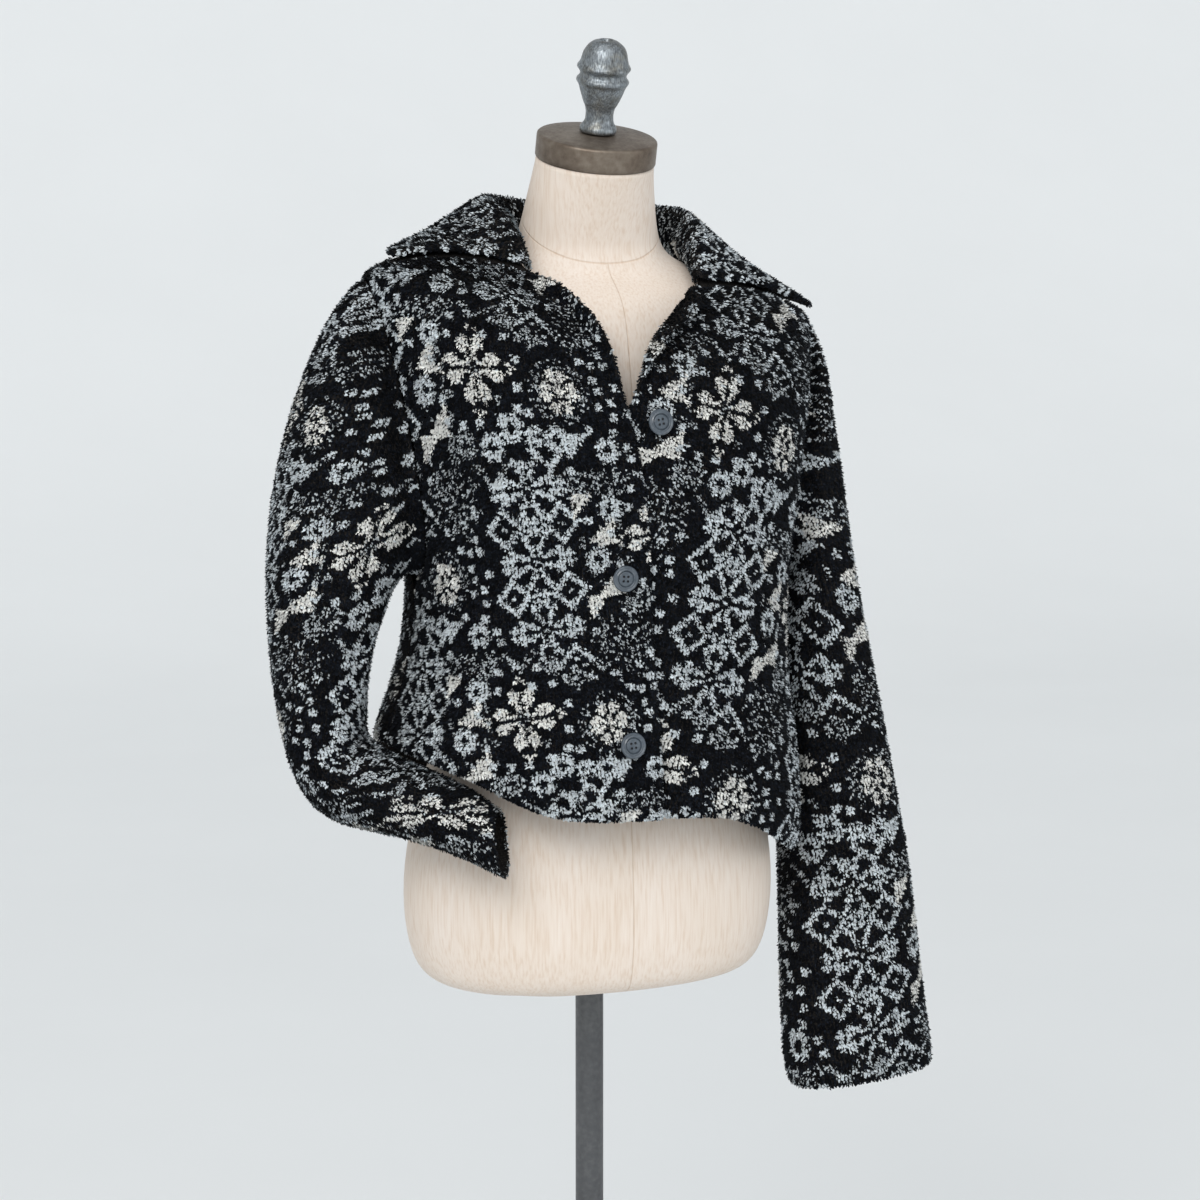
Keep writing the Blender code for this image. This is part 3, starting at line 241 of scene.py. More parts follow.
BODY_ANGLES = np.radians(np.arange(-180.0, 181.0, 2.0))
BODY_LEVELS = np.linspace(0.82, 1.395, 70)
CHEST = 1.27  # the way up the cloth is counted from here
BACK_ROW = 40  # the level, by its row, whose girth the upper back is set by
HALF_BODY = 0.2
SHOULDER_LIFT, LIFT_FROM, LIFT_RUN = 0.038, 1.10, 0.183  # how far the right shoulder is raised, and from which height
SHOULDER_FROM, SHOULDER_RUN = 1.30, 0.05  # over these heights the body's wall turns in to the neck
SHOULDER_EASE = 0.3
SLEEVE_HALVES = (0.035, 0.050, 0.070, 0.105)  # half widths that stand for the whole range
SLEEVE_DEPTH = 0.050
BEND_REACH = 0.12
COLLAR_MIDDLE_Y, COLLAR_ACROSS, COLLAR_DEEP = 0.022, 0.11, 0.075
COLLAR_FOLD, COLLAR_FALL, COLLAR_RISE = 1.39, 0.09, 0.6


def body_tables():
    """Reach from the middle for each level and angle, and the way round and up along the cloth."""
    rows = [np.interp(BODY_LEVELS, BODY[:, 0], BODY[:, k]) for k in range(1, 5)]
    half, front, back, power = (row[:, None] for row in rows)
    across, ahead = np.sin(BODY_ANGLES)[None, :], np.cos(BODY_ANGLES)[None, :]
    depth = np.where(ahead > 0.0, front, back)
    reach = 1.0 / (np.abs(across / half) ** power + np.abs(ahead / depth) ** power) ** (1.0 / power)
    x, y = reach * across, -reach * ahead
    step = np.hypot(np.diff(x, axis=1), np.diff(y, axis=1))
    around = np.concatenate([np.zeros((len(BODY_LEVELS), 1)), np.cumsum(step, axis=1)], axis=1)
    around -= around[:, len(BODY_ANGLES) // 2][:, None]
    climb = np.hypot(np.diff(reach, axis=0), np.diff(BODY_LEVELS)[:, None])
    up = np.concatenate([np.zeros((1, len(BODY_ANGLES))), np.cumsum(climb, axis=0)], axis=0)
    chest = int(np.argmin(np.abs(BODY_LEVELS - CHEST)))
    up -= up[chest][None, :]
    return around, up


def body_place(points):
    """How far round the body from the middle front, and up from the chest, each point lies on the cloth."""
    x, y, z = points.T
    lift = SHOULDER_LIFT * smooth_step(-x / HALF_BODY)
    level = z - lift * smooth_step((z - LIFT_FROM) / LIFT_RUN)
    level = z - lift * smooth_step((level - LIFT_FROM) / LIFT_RUN)
    angle = np.arctan2(x, -(y - BODY_MIDDLE_Y))
    level_step, angle_step = BODY_LEVELS[1] - BODY_LEVELS[0], BODY_ANGLES[1] - BODY_ANGLES[0]
    i, j = (level - BODY_LEVELS[0]) / level_step, (angle - BODY_ANGLES[0]) / angle_step
    around, up = body_tables()
    round_the_body = grid_read(around, np.minimum(i, (CHEST - BODY_LEVELS[0]) / level_step), j)
    # Over the shoulders the way round is taken straight across.
    straight = x * (1.0 + SHOULDER_EASE * np.abs(x) / HALF_BODY)
    behind = np.abs(angle) > math.pi / 2.0
    straight = np.where(behind, np.sign(x) * (np.abs(around[BACK_ROW, 0]) - np.abs(straight)), straight)
    share = smooth_step((level - SHOULDER_FROM) / SHOULDER_RUN)
    return round_the_body * (1.0 - share) + straight * share, grid_read(up, i, j)


def sleeve_place(points, line):
    """For each point: how far round a sleeve from its front, how far up it, the way from its middle line,
    and its place along that line."""
    middles = line[:, :3]
    run = np.concatenate([[0.0], np.cumsum(np.linalg.norm(np.diff(middles, axis=0), axis=1))])
    best = np.full(len(points), 1e9)
    along = np.zeros(len(points))
    for k in range(len(middles) - 1):
        a, way = middles[k], middles[k + 1] - middles[k]
        low = -1.5 if k == 0 else 0.0  # the line runs on past its two ends
        high = 1.5 if k == len(middles) - 2 else 1.0
        share = np.clip(((points - a) @ way) / (way @ way), low, high)
        far = np.linalg.norm(points - (a + share[:, None] * way), axis=1)
        near = far < best
        best[near], along[near] = far[near], (k + share)[near]
    columns = [np.interp(along, np.arange(len(line)), line[:, k]) for k in range(8)]
    over = np.clip(-along, 0.0, None)[:, None] * (middles[0] - middles[1])[None, :]
    beyond = np.clip(along - (len(line) - 1), 0.0, None)[:, None] * (middles[-1] - middles[-2])[None, :]
    middle = np.stack(columns[:3], 1) + over + beyond
    half, lean, turn, front, back = columns[3:]
    lean, turn = np.radians(lean), np.radians(turn)
    side = np.sign(line[0, 0])
    across = np.stack([side * np.cos(turn) * np.cos(lean), np.sin(turn) * np.cos(lean), -np.sin(lean)], 1)
    ahead = np.stack([side * np.sin(turn), -np.cos(turn), np.zeros(len(points))], 1)
    offset = points - middle
    x, y = (offset * across).sum(1) * side, (offset * ahead).sum(1)
    depth = np.where(y > 0.0, front, back)
    angle = np.arctan2(x / half, y / depth)
    steps = np.radians(np.arange(-180.0, 181.0, 4.0))
    placed = np.zeros(len(points))
    for one, share in zip(SLEEVE_HALVES, np.eye(len(SLEEVE_HALVES))):
        step = np.hypot(np.diff(one * np.sin(steps)), np.diff(SLEEVE_DEPTH * np.cos(steps)))
        arc = np.concatenate([[0.0], np.cumsum(step)])
        arc -= arc[len(steps) // 2]
        placed += np.interp(half, SLEEVE_HALVES, share) * np.interp(angle, steps, arc)
    last = len(line) - 1
    down = np.interp(np.clip(along, 0, last), np.arange(len(line)), run)
    down += np.where(along < 0, along * np.linalg.norm(middles[1] - middles[0]), 0.0)
    down += np.where(along > last, (along - last) * np.linalg.norm(middles[-1] - middles[-2]), 0.0)
    # The cloth's way down is longer on the outside of a bend.
    hanging = math.radians(line[-1, 4] if side > 0.0 else line[5, 4])
    down += np.clip(x * side, -BEND_REACH, BEND_REACH) * (lean - hanging)
    return placed, -down, offset / np.linalg.norm(offset, axis=1)[:, None], along


def collar_place(points):
    """How far round the collar, and how far from the neck, each point lies."""
    x, y, z = points.T
    y = y - COLLAR_MIDDLE_Y
    reach = np.hypot(x / COLLAR_ACROSS, y / COLLAR_DEEP)
    return np.arctan2(x, -y) * COLLAR_ACROSS, -(reach - 1.0) * COLLAR_FALL + (z - COLLAR_FOLD) * COLLAR_RISE


def cloth_place(name, points):
    if name in SLEEVES:
        return sleeve_place(points, SLEEVES[name])[:2]
    return collar_place(points) if name == "collar" else body_place(points)


def chart_place(name, points):
    """Stitches across and down from the big star, for points on a piece of cloth."""
    across, up = cloth_place(name, points)
    star_across, star_up, turn, stitch = CHART_PLACES[name]
    a, b = across - star_across, star_up - up
    turn = math.radians(turn)
    u = (a * math.cos(turn) - b * math.sin(turn)) / stitch
    v = (a * math.sin(turn) + b * math.cos(turn)) / stitch
    return u, v


# ---- small helpers
def leave_edit():
    bpy.ops.object.mode_set(mode="OBJECT")


def lone_select(piece):
    """Makes one piece the only selected and active one, in object mode."""
    if bpy.context.object and bpy.context.object.mode != "OBJECT":
        leave_edit()
    for other in list(bpy.context.selected_objects):
        other.select_set(False)
    piece.select_set(True)
    bpy.context.view_layer.objects.active = piece


def apply_all(piece):
    lone_select(piece)
    for modifier in list(piece.modifiers):
        bpy.ops.object.modifier_apply(modifier=modifier.name)


def seat_at_origin(piece):
    """Puts the piece's place into its mesh, so that its object stands at the origin, unturned."""
    bpy.context.view_layer.update()
    piece.data.transform(piece.matrix_world)
    piece.matrix_world = Matrix.Identity(4)


def new_object(name, data):
    made = bpy.data.objects.new(name, data)
    bpy.context.scene.collection.objects.link(made)
    return made


def edit_all():
    """Edit mode, with the whole mesh selected."""
    bpy.ops.object.mode_set(mode="EDIT")
    bpy.ops.mesh.select_all(action="SELECT")


def merged_copy(node, name):
    """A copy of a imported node's mesh with its loose triangles joined, ready to shape."""
    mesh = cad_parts[node].data.copy()
    mesh.name = name
    piece = new_object(name, mesh)
    mesh.materials.clear()
    lone_select(piece)
    edit_all()
    bpy.ops.mesh.remove_doubles(threshold=0.00002)
    flat = math.radians(60.0)
    bpy.ops.mesh.tris_convert_to_quads(face_threshold=flat, shape_threshold=flat)
    leave_edit()
    return piece


def subdivide(piece, levels):
    change = piece.modifiers.new("Rounded", "SUBSURF")
    change.levels = change.render_levels = levels
    apply_all(piece)


def rounded_copy(node, name, crease=None):
    """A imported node's mesh rounded, so that nothing of its facets shows."""
    piece = merged_copy(node, name)
    if crease:
        crease(piece)
    subdivide(piece, 2)
    piece.data.shade_smooth()
    return piece


def rows_of(items, name, kind=float):
    """Three numbers of each item, as rows."""
    numbers = np.empty(len(items) * 3, kind)
    items.foreach_get(name, numbers)
    return numbers.reshape(-1, 3)


def points_of(mesh):
    return rows_of(mesh.vertices, "co")


def corners_of(mesh):
    """The numbers of each triangle's three points."""
    mesh.calc_loop_triangles()
    return rows_of(mesh.loop_triangles, "vertices", np.int32)


def normals_of(mesh):
    return rows_of(mesh.vertex_normals, "vector")


def unit(ways):
    return ways / np.maximum(np.linalg.norm(ways, axis=1), 1e-9)[:, None]


# ---- materials
def set_inputs(tree, node, inputs):
    """Links a node's named inputs to sockets, or gives them their values."""
    for name, value in inputs.items():
        if isinstance(value, bpy.types.NodeSocket):
            tree.links.new(value, node.inputs[name])
        else:
            node.inputs[name].default_value = value


def new_material(name):
    made = bpy.data.materials.new(name)
    made.use_nodes = True
    return made, made.node_tree, made.node_tree.nodes["Principled BSDF"]


def math_node(tree, operation, *values):
    """A Math node on sockets and numbers."""
    node = tree.nodes.new("ShaderNodeMath")
    node.operation = operation
    set_inputs(tree, node, dict(enumerate(values)))
    return node.outputs[0]


def mottle_group():
    """A fine mottle over a broad one, for colour that is never quite even. Puts out a grey value about 0.5."""
    group = bpy.data.node_groups.new("Mottle", "ShaderNodeTree")
    into, out, place = (group.nodes.new(kind) for kind in ("NodeGroupInput", "NodeGroupOutput", "ShaderNodeTexCoord"))
    values = []
    for size, usual, detail in (("Fine size", 400.0, 3.0), ("Broad size", 25.0, 2.0)):
        group.interface.new_socket(size, in_out="INPUT", socket_type="NodeSocketFloat").default_value = usual
        noise = group.nodes.new("ShaderNodeTexNoise")
        set_inputs(group, noise, {"Vector": place.outputs["Object"], "Scale": into.outputs[size], "Detail": detail})
        values.append(noise.outputs["Fac"])
    group.interface.new_socket("Value", in_out="OUTPUT", socket_type="NodeSocketFloat")
    mean = math_node(group, "MULTIPLY_ADD", values[0], 0.5, math_node(group, "MULTIPLY", values[1], 0.5))
    group.links.new(mean, out.inputs["Value"])
    return group


MOTTLE = mottle_group()


def mottled(tree, fine, broad):
    node = tree.nodes.new("ShaderNodeGroup")
    node.node_tree = MOTTLE
    set_inputs(tree, node, {"Fine size": fine, "Broad size": broad})
    return node.outputs["Value"]


def ramp(tree, value, stops):
    """Colours, or greys as single numbers, along a value."""
    node = tree.nodes.new("ShaderNodeValToRGB")
    elements = node.color_ramp.elements
    while len(elements) < len(stops):
        elements.new(0.5)
    for element, (place, colour) in zip(elements, stops):
        element.position = place
        element.color = (*(colour if isinstance(colour, tuple) else (colour,) * 3), 1.0)
    tree.links.new(value, node.inputs["Fac"])
    return node.outputs["Color"]


def bump(tree, height, strength, distance, normal=None):
    node = tree.nodes.new("ShaderNodeBump")
    set_inputs(tree, node, {"Height": height, "Strength": strength, "Distance": distance})
    if normal is not None:
        tree.links.new(normal, node.inputs["Normal"])
    return node.outputs["Normal"]


def value_range(tree, value, low, high, to_low, to_high):
    node = tree.nodes.new("ShaderNodeMapRange")
    set_inputs(tree, node, {"Value": value, "From Min": low, "From Max": high, "To Min": to_low, "To Max": to_high})
    return node.outputs["Result"]


def product(tree, colour, other):
    node = tree.nodes.new("ShaderNodeMix")
    node.data_type = "RGBA"
    node.blend_type = "MULTIPLY"
    node.inputs["Factor"].default_value = 1.0
    tree.links.new(colour, node.inputs["A"])
    tree.links.new(other, node.inputs["B"])
    return node.outputs["Result"]


def pile_material():
    """Brushed pile: the yarn's colour on each tuft, with the painted shade that it carries at the root and between
    stitches, uneven from fibre to fibre, with the soft light that fine fibres catch."""
    made, tree, shader = new_material("Brushed pile")
    yarn = tree.nodes.new("ShaderNodeAttribute")
    # This attribute carries each tuft's yarn colour with its painted shade at the root and where its stitch sinks.
    yarn.attribute_name = "yarn"
    uneven = ramp(tree, mottled(tree, 900.0, 60.0), ((0.3, (0.62, 0.62, 0.63)), (0.52, 0.95), (0.72, 1.0)))
    set_inputs(tree, shader, {
        "Base Color": product(tree, yarn.outputs["Color"], uneven),
        "Roughness": value_range(tree, mottled(tree, 700.0, 90.0), 0.3, 0.7, 0.82, 0.98),
        "Specular IOR Level": 0.07, "Sheen Weight": 0.04, "Sheen Roughness": 0.45,
        "Sheen Tint": (0.8, 0.86, 0.92, 1.0),
    })
    return made


def ground_material():
    """The knitted ground under the pile and on the cloth's back: small loops in charcoal and taupe, with painted
    shade darkening each loop towards its edges.
    """
    made, tree, shader = new_material("Knitted ground")
    place = tree.nodes.new("ShaderNodeTexCoord")
    loops = tree.nodes.new("ShaderNodeTexVoronoi")
    set_inputs(tree, loops, {"Vector": place.outputs["Object"], "Scale": 620.0, "Randomness": 0.55})
    tone = ramp(tree, mottled(tree, 500.0, 30.0),
                ((0.28, (0.008, 0.008, 0.009)), (0.5, (0.02, 0.018, 0.017)), (0.72, (0.055, 0.048, 0.042))))
    # Painted shade: each loop darker towards its edges, where it sinks between its neighbours.
    shade = ramp(tree, loops.outputs["Distance"], ((0.0, 1.0), (0.6, 0.35), (1.0, 0.2)))
    set_inputs(tree, shader, {
        "Base Color": product(tree, tone, shade),
        "Normal": bump(tree, loops.outputs["Distance"], 0.6, 0.0006),
        "Roughness": value_range(tree, mottled(tree, 300.0, 30.0), 0.3, 0.7, 0.85, 1.0),
        "Specular IOR Level": 0.1,
    })
    return made


# ---- cloth and pile
YARNS = np.array(((0.004, 0.005, 0.0072), (0.33, 0.365, 0.385), (0.775, 0.85, 0.9), (0.975, 0.985, 0.955)))
TAUPE = np.array((0.09, 0.076, 0.062))  # shows faintly at the tufts' roots
WARM, WARM_MOST = np.array((1.1, 0.98, 0.84)), 0.30

# How the tufts stand: lengths in metres, angles in degrees
KNOT_RISE, ROOT_DEPTH = 0.0009, 0.0006
V_LEAN, SWING_SPREAD, ROLL_SPREAD = 24.0, 15.0, 13.0
LYING_RISE, RISE_SPREAD, STANDING_RISE, STANDING_SHARE = 25.0, 8.0, 62.0, 0.10
LEAST_RISE, MOST_RISE = 0.14, 1.3  # in radians
CURL_SPREAD, CURL_UP = 0.16, 0.10
MIDDLE_AT, MIDDLE_RISE = 0.52, 0.06  # a leaf is widest here, as shares of its length
LEAF_SHARE = 0.25  # of a leaf's light; the rest comes from the cloth that it grows on

# How their yarns vary, as shares of the tufts or of the tone, and the painted shade on them
STRAY = 0.13  # spread, in stitches, of the stitch that a tuft belongs to
WORN_SHARE, LIGHT_IN_TWIST, TWIST_TONE = 0.035, 0.56, 0.80
GREY_SHARE, GREY_TONE = 0.13, 3.6  # single paler tufts in the dark ground
# Painted shade on tufts towards a stitch's edges, where it sinks between its neighbours: where it starts, and its
# most
GAP_SHADE_FROM, GAP_SHADE_MOST = 0.5, 0.34
# Painted shade along each leaf: darkest at its root, full at its tip
LEAF_SHADE_ROOT_TO_TIP = np.array((0.6, 0.95, 1.0, 0.95))  # root, side, tip, side
ROOT_TINT = 0.15

COVER_REACH = 0.009  # cloth within this reach hides what it covers


def cloth_ground(node, name):
    """The knitted ground of one piece of cloth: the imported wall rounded, and set in by the pile's depth."""
    piece = rounded_copy(node, name)
    mesh = piece.data
    mesh.vertices.foreach_set("co", (points_of(mesh) - normals_of(mesh) * CLOTH_SET_IN).ravel())
    mesh.update()
    mesh.materials.append(GROUND_CLOTH)
    return piece


def seeds_on(mesh, wanted, seed, keep):
    """Places spread evenly by area over the faces that keep allows, with their normals."""
    corners = corners_of(mesh)
    places, ways = points_of(mesh), normals_of(mesh)
    a, b, c = (places[corners[:, k]] for k in range(3))
    face = np.cross(b - a, c - a)
    area = np.where(keep((a + b + c) / 3.0, unit(face)), np.linalg.norm(face, axis=1) / 2.0, 0.0)
    reach = np.cumsum(area) / area.sum()
    chance = np.random.default_rng(seed)
    at = (np.arange(wanted) + chance.random(wanted)) / wanted
    chosen = np.minimum(np.searchsorted(reach, at), len(area) - 1)
    p, q = chance.random(wanted), chance.random(wanted)
    over = p + q > 1.0
    p[over], q[over] = 1.0 - p[over], 1.0 - q[over]
    share = np.stack([1.0 - p - q, p, q], 1)[:, :, None]
    picked = corners[chosen]
    return (places[picked] * share).sum(1), unit((ways[picked] * share).sum(1))


def leaf_corners(roots, normals, nap, u, chance):
    """Root, side, tip and side of each tuft's leaf, facing out of the cloth, and which leaves were turned for it."""
    count = len(roots)
    # A knit stitch is a V: its left half leans one way, its right half the other.
    lean_side = np.where(np.mod(u, 1.0) < 0.5, -1.0, 1.0)
    nap = unit(nap - normals * (nap * normals).sum(1)[:, None])
    beside = np.cross(normals, nap)
    swing = np.radians(V_LEAN) * lean_side + chance.normal(0.0, math.radians(SWING_SPREAD), count)
    nap = nap * np.cos(swing)[:, None] + beside * np.sin(swing)[:, None]
    standing = chance.random(count) < STANDING_SHARE
    rise = np.where(standing, STANDING_RISE, chance.normal(LYING_RISE, RISE_SPREAD, count))
    rise = np.radians(rise).clip(LEAST_RISE, MOST_RISE)
    way = unit(nap * np.cos(rise)[:, None] + normals * np.sin(rise)[:, None])
    long = NAP_LENGTH * chance.uniform(0.72, 1.12, count)[:, None]
    wide = NAP_WIDTH * chance.uniform(0.75, 1.25, count)[:, None]
    across = unit(np.cross(way, normals))
    roll = chance.normal(0.0, math.radians(ROLL_SPREAD), count)
    across = across * np.cos(roll)[:, None] + np.cross(across, way) * np.sin(roll)[:, None]
    curl = chance.normal(0.0, CURL_SPREAD, (count, 1)) * across + CURL_UP * normals
    base = roots - normals * ROOT_DEPTH
    middle = base + way * (long * MIDDLE_AT) + normals * (long * MIDDLE_RISE)
    tip = base + unit(way + curl) * long
    corners = np.stack([base, middle + across * (wide / 2), tip, middle - across * (wide / 2)], 1)
    facing = (np.cross(corners[:, 1] - corners[:, 0], corners[:, 2] - corners[:, 0]) * normals).sum(1)
    flipped = facing < 0.0
    corners[flipped] = corners[flipped][:, ::-1]
    return corners, flipped


def leaf_colours(u, v, knot, flipped, chance):
    """The yarn of each leaf's stitch at its four corners, with painted shade at the leaf's root and where its stitch
    sinks between its neighbours.
    """
    count = len(u)
    stray_u, stray_v = chance.normal(0.0, STRAY, count), chance.normal(0.0, STRAY, count)
    column, row = chart_cell(np.floor(u + stray_u), np.floor(v + stray_v))
    yarn = CHART[row, column]
    yarn = np.where(chance.random(count) < WORN_SHARE, np.maximum(yarn - 1, 0), yarn)
    # The middle yarn is a twist of light and dark fibres, so its tufts are one or the other.
    twist = np.where(chance.random(count) < LIGHT_IN_TWIST, LIGHT, GROUND)
    fibre = np.where(yarn == MID, twist, yarn)
    # A number from 0 to 1 of each stitch's own
    tone = np.sin(column * 12.9898 + row * 78.233 + np.floor(u / ACROSS) * 37.719) * 43758.5453
    tone = tone - np.floor(tone)
    plain = fibre == GROUND
    tone = np.where(plain, 0.55 + 1.75 * tone ** 2, 0.80 + 0.26 * tone)
    tone = np.where(plain & (chance.random(count) < GREY_SHARE), GREY_TONE, tone)
    # Painted shade where the stitch sinks between its neighbours
    gap_shade = 1.0 - GAP_SHADE_MOST * smooth_step((knot - GAP_SHADE_FROM) / 0.5)
    tone = (tone * gap_shade * chance.uniform(0.84, 1.12, count))[:, None]
    colour = YARNS[fibre] * np.where(yarn == MID, TWIST_TONE, 1.0)[:, None] * tone
    warm = chance.random(count)[:, None] ** 3 * WARM_MOST
    colour = colour * (1.0 - warm) + colour * WARM * warm
    # Painted shade: each leaf darker towards its root.
    shades = colour[:, None, :] * LEAF_SHADE_ROOT_TO_TIP[None, :, None]
    shades[flipped] = shades[flipped][:, ::-1]
    shades[np.arange(count), np.where(flipped, 3, 0)] += (ROOT_TINT * (YARNS[fibre].mean(1) / 0.7))[:, None] * TAUPE
    return shades


def pile_of(name, roots, normals, nap, u, v, seed):
    """Tufts of pile as leaning leaves of four points, each in the yarn of its stitch."""
    chance = np.random.default_rng(seed)
    count = len(roots)
    # Each stitch stands up as a small knot; its tufts get painted shade where it sinks between its neighbours.
    knot = np.maximum(np.abs(np.mod(u, 1.0) - 0.5), np.abs(np.mod(v, 1.0) - 0.5)) * 2.0
    roots = roots + normals * (KNOT_RISE * (1.0 - knot ** 2))[:, None]
    corners, flipped = leaf_corners(roots, normals, nap, u, chance)
    shades = leaf_colours(u, v, knot, flipped, chance)
    leaf = unit(np.cross(corners[:, 1] - corners[:, 3], corners[:, 0] - corners[:, 2]))
    leaf = np.where(((leaf * normals).sum(1) < 0.0)[:, None], -leaf, leaf)
    light = unit(normals * (1.0 - LEAF_SHARE) + leaf * LEAF_SHARE)
    mesh = bpy.data.meshes.new(name)
    mesh.vertices.add(count * 4)
    mesh.vertices.foreach_set("co", corners.reshape(-1))
    mesh.loops.add(count * 4)
    mesh.loops.foreach_set("vertex_index", np.arange(count * 4, dtype=np.int32))
    mesh.polygons.add(count)
    mesh.polygons.foreach_set("loop_start", np.arange(count, dtype=np.int32) * 4)
    mesh.update(calc_edges=True)
    # The yarn colours, with their painted shade, go onto the leaves' points.
    yarns = mesh.color_attributes.new("yarn", "FLOAT_COLOR", "POINT")
    yarns.data.foreach_set("color", np.concatenate([shades, np.ones((count, 4, 1))], 2).reshape(-1))
    # Each leaf has a small square of its own in the map, so that baked colours stay apart.
    side = math.ceil(math.sqrt(count))
    square = np.stack([np.arange(count) % side, np.arange(count) // side], 1)
    spots = np.array(((0.5, 0.1), (0.9, 0.5), (0.5, 0.9), (0.1, 0.5)))
    flat = (square[:, None, :] + spots[None]) / side
    mesh.uv_layers.new(name="OFBake").data.foreach_set("uv", flat.reshape(-1))
    mesh.shade_smooth()
    mesh.normals_split_custom_set_from_vertices(np.repeat(light, 4, axis=0))
    mesh.materials.append(PILE)
    return new_object(name, mesh)


def outward_of_body(places):
    x, y, z = places.T
    return unit(np.stack([x, y - BODY_MIDDLE_Y, np.clip(z - 1.2, 0.0, None) * 1.6], 1))


def nap_on_body(roots):
    """The pile is brushed down, and on the shoulders outward too."""
    x, y, z = roots.T
    out = unit(np.stack([x, (y - BODY_MIDDLE_Y) * 1.4, np.zeros(len(roots))], 1))
    share = smooth_step((z - SHOULDER_FROM) / 0.06)[:, None]
    return np.array((0.0, 0.0, -1.0))[None, :] + out * 0.9 * share


def hidden_by(cover, roots, normals):
    """Which roots lie right under another piece of cloth."""
    return np.array([cover.ray_cast(Vector(root), Vector(normal), COVER_REACH)[0] is not None
                     for root, normal in zip(roots, normals)])


def tree_of(nodes):
    places, faces, first = [], [], 0
    for node in nodes:
        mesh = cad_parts[node].data
        places.append(points_of(mesh))
        faces.append(corners_of(mesh) + first)
        first += len(mesh.vertices)
    return BVHTree.FromPolygons(np.concatenate(places).tolist(), np.concatenate(faces).tolist())


GROUND_CLOTH = ground_material()
PILE = pile_material()
CHART = draw_chart()
# Each piece of cloth: the seed of its random draws, its tufts, what lies over it, what shows of it laid flat
# (width, length and area), and what it rests on
PIECES = {
    "front_right": (11, 84000, ("collar",), (0.25, 0.56, 0.11), ["form_torso_cover", "front_left_cloth"]),
    "front_left": (12, 82000, ("front_right", "collar"), (0.3, 0.56, 0.136), ["form_torso_cover"]),
    "back": (13, 76000, ("collar",), (0.46, 0.56, 0.226), ["form_torso_cover"]),
    "sleeve_right": (14, 92000, (), (0.4, 0.48, 0.148), ["front_right_cloth", "back_cloth"]),
    "sleeve_left": (15, 96000, (), (0.44, 0.62, 0.205), ["front_left_cloth", "back_cloth"]),
    "collar": (16, 64000, ("front_right", "front_left", "back"), (0.52, 0.14, 0.063),
               ["front_right_cloth", "front_left_cloth", "back_cloth"]),
}


def bears_pile(node, middles, ways):
    """Which faces of a piece of cloth bear pile: all but those that look inward."""
    if node in SLEEVES:
        return (sleeve_place(middles, SLEEVES[node])[2] * ways).sum(1) > -0.5
    if node == "collar":
        return np.ones(len(middles), bool)
    return (outward_of_body(middles) * ways).sum(1) > -0.45


def nap_of(node, roots):
    """The way that the pile is brushed at each root."""
    if node in SLEEVES:
        line = SLEEVES[node]
        step = np.clip(sleeve_place(roots, line)[3].astype(int), 0, len(line) - 2)
        return line[step + 1, :3] - line[step, :3]
    if node == "collar":
        x, y, _ = roots.T
        return np.stack([x, (y - COLLAR_MIDDLE_Y) * 1.5, np.full(len(roots), -0.06)], 1)
    return nap_on_body(roots)


def dress(node, seed, wanted, covers):
    """One piece of cloth: its knitted ground and its pile, in place of its packed wall."""
    ground = cloth_ground(node, node + "_cloth")
    roots, normals = seeds_on(ground.data, wanted, seed, lambda middles, ways: bears_pile(node, middles, ways))
    if covers:
        under = hidden_by(tree_of(covers), roots, normals)
        roots, normals = roots[~under], normals[~under]
    nap = unit(nap_of(node, roots))
    u, v = chart_place(node, roots + nap * NAP_LENGTH * 0.45)  # a tuft shows the stitch that its middle lies on
    tufts = pile_of(node + "_pile", roots, normals, nap, u, v, seed + 50)
    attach(ground, "root")
    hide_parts(node)
    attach(tufts, "root")


for node, (seed, wanted, covers, _, _) in PIECES.items():
    dress(node, seed, wanted, covers)


# ---- the form, its metal and the buttons
UP = Vector((0.0, 0.0, 1.0))
EDGE_ANGLE = math.radians(38.0)  # edges sharper than this stay crisp


def stretched_noise(tree, scale, detail=3.0):
    """Noise drawn out by its three scales, for grain that runs one way."""
    place, fit, noise = (tree.nodes.new("ShaderNode" + kind) for kind in ("TexCoord", "Mapping", "TexNoise"))
    set_inputs(tree, fit, {"Vector": place.outputs["Object"], "Scale": scale})
    set_inputs(tree, noise, {"Vector": fit.outputs["Vector"], "Scale": 1.0, "Detail": detail})
    return noise.outputs["Fac"]


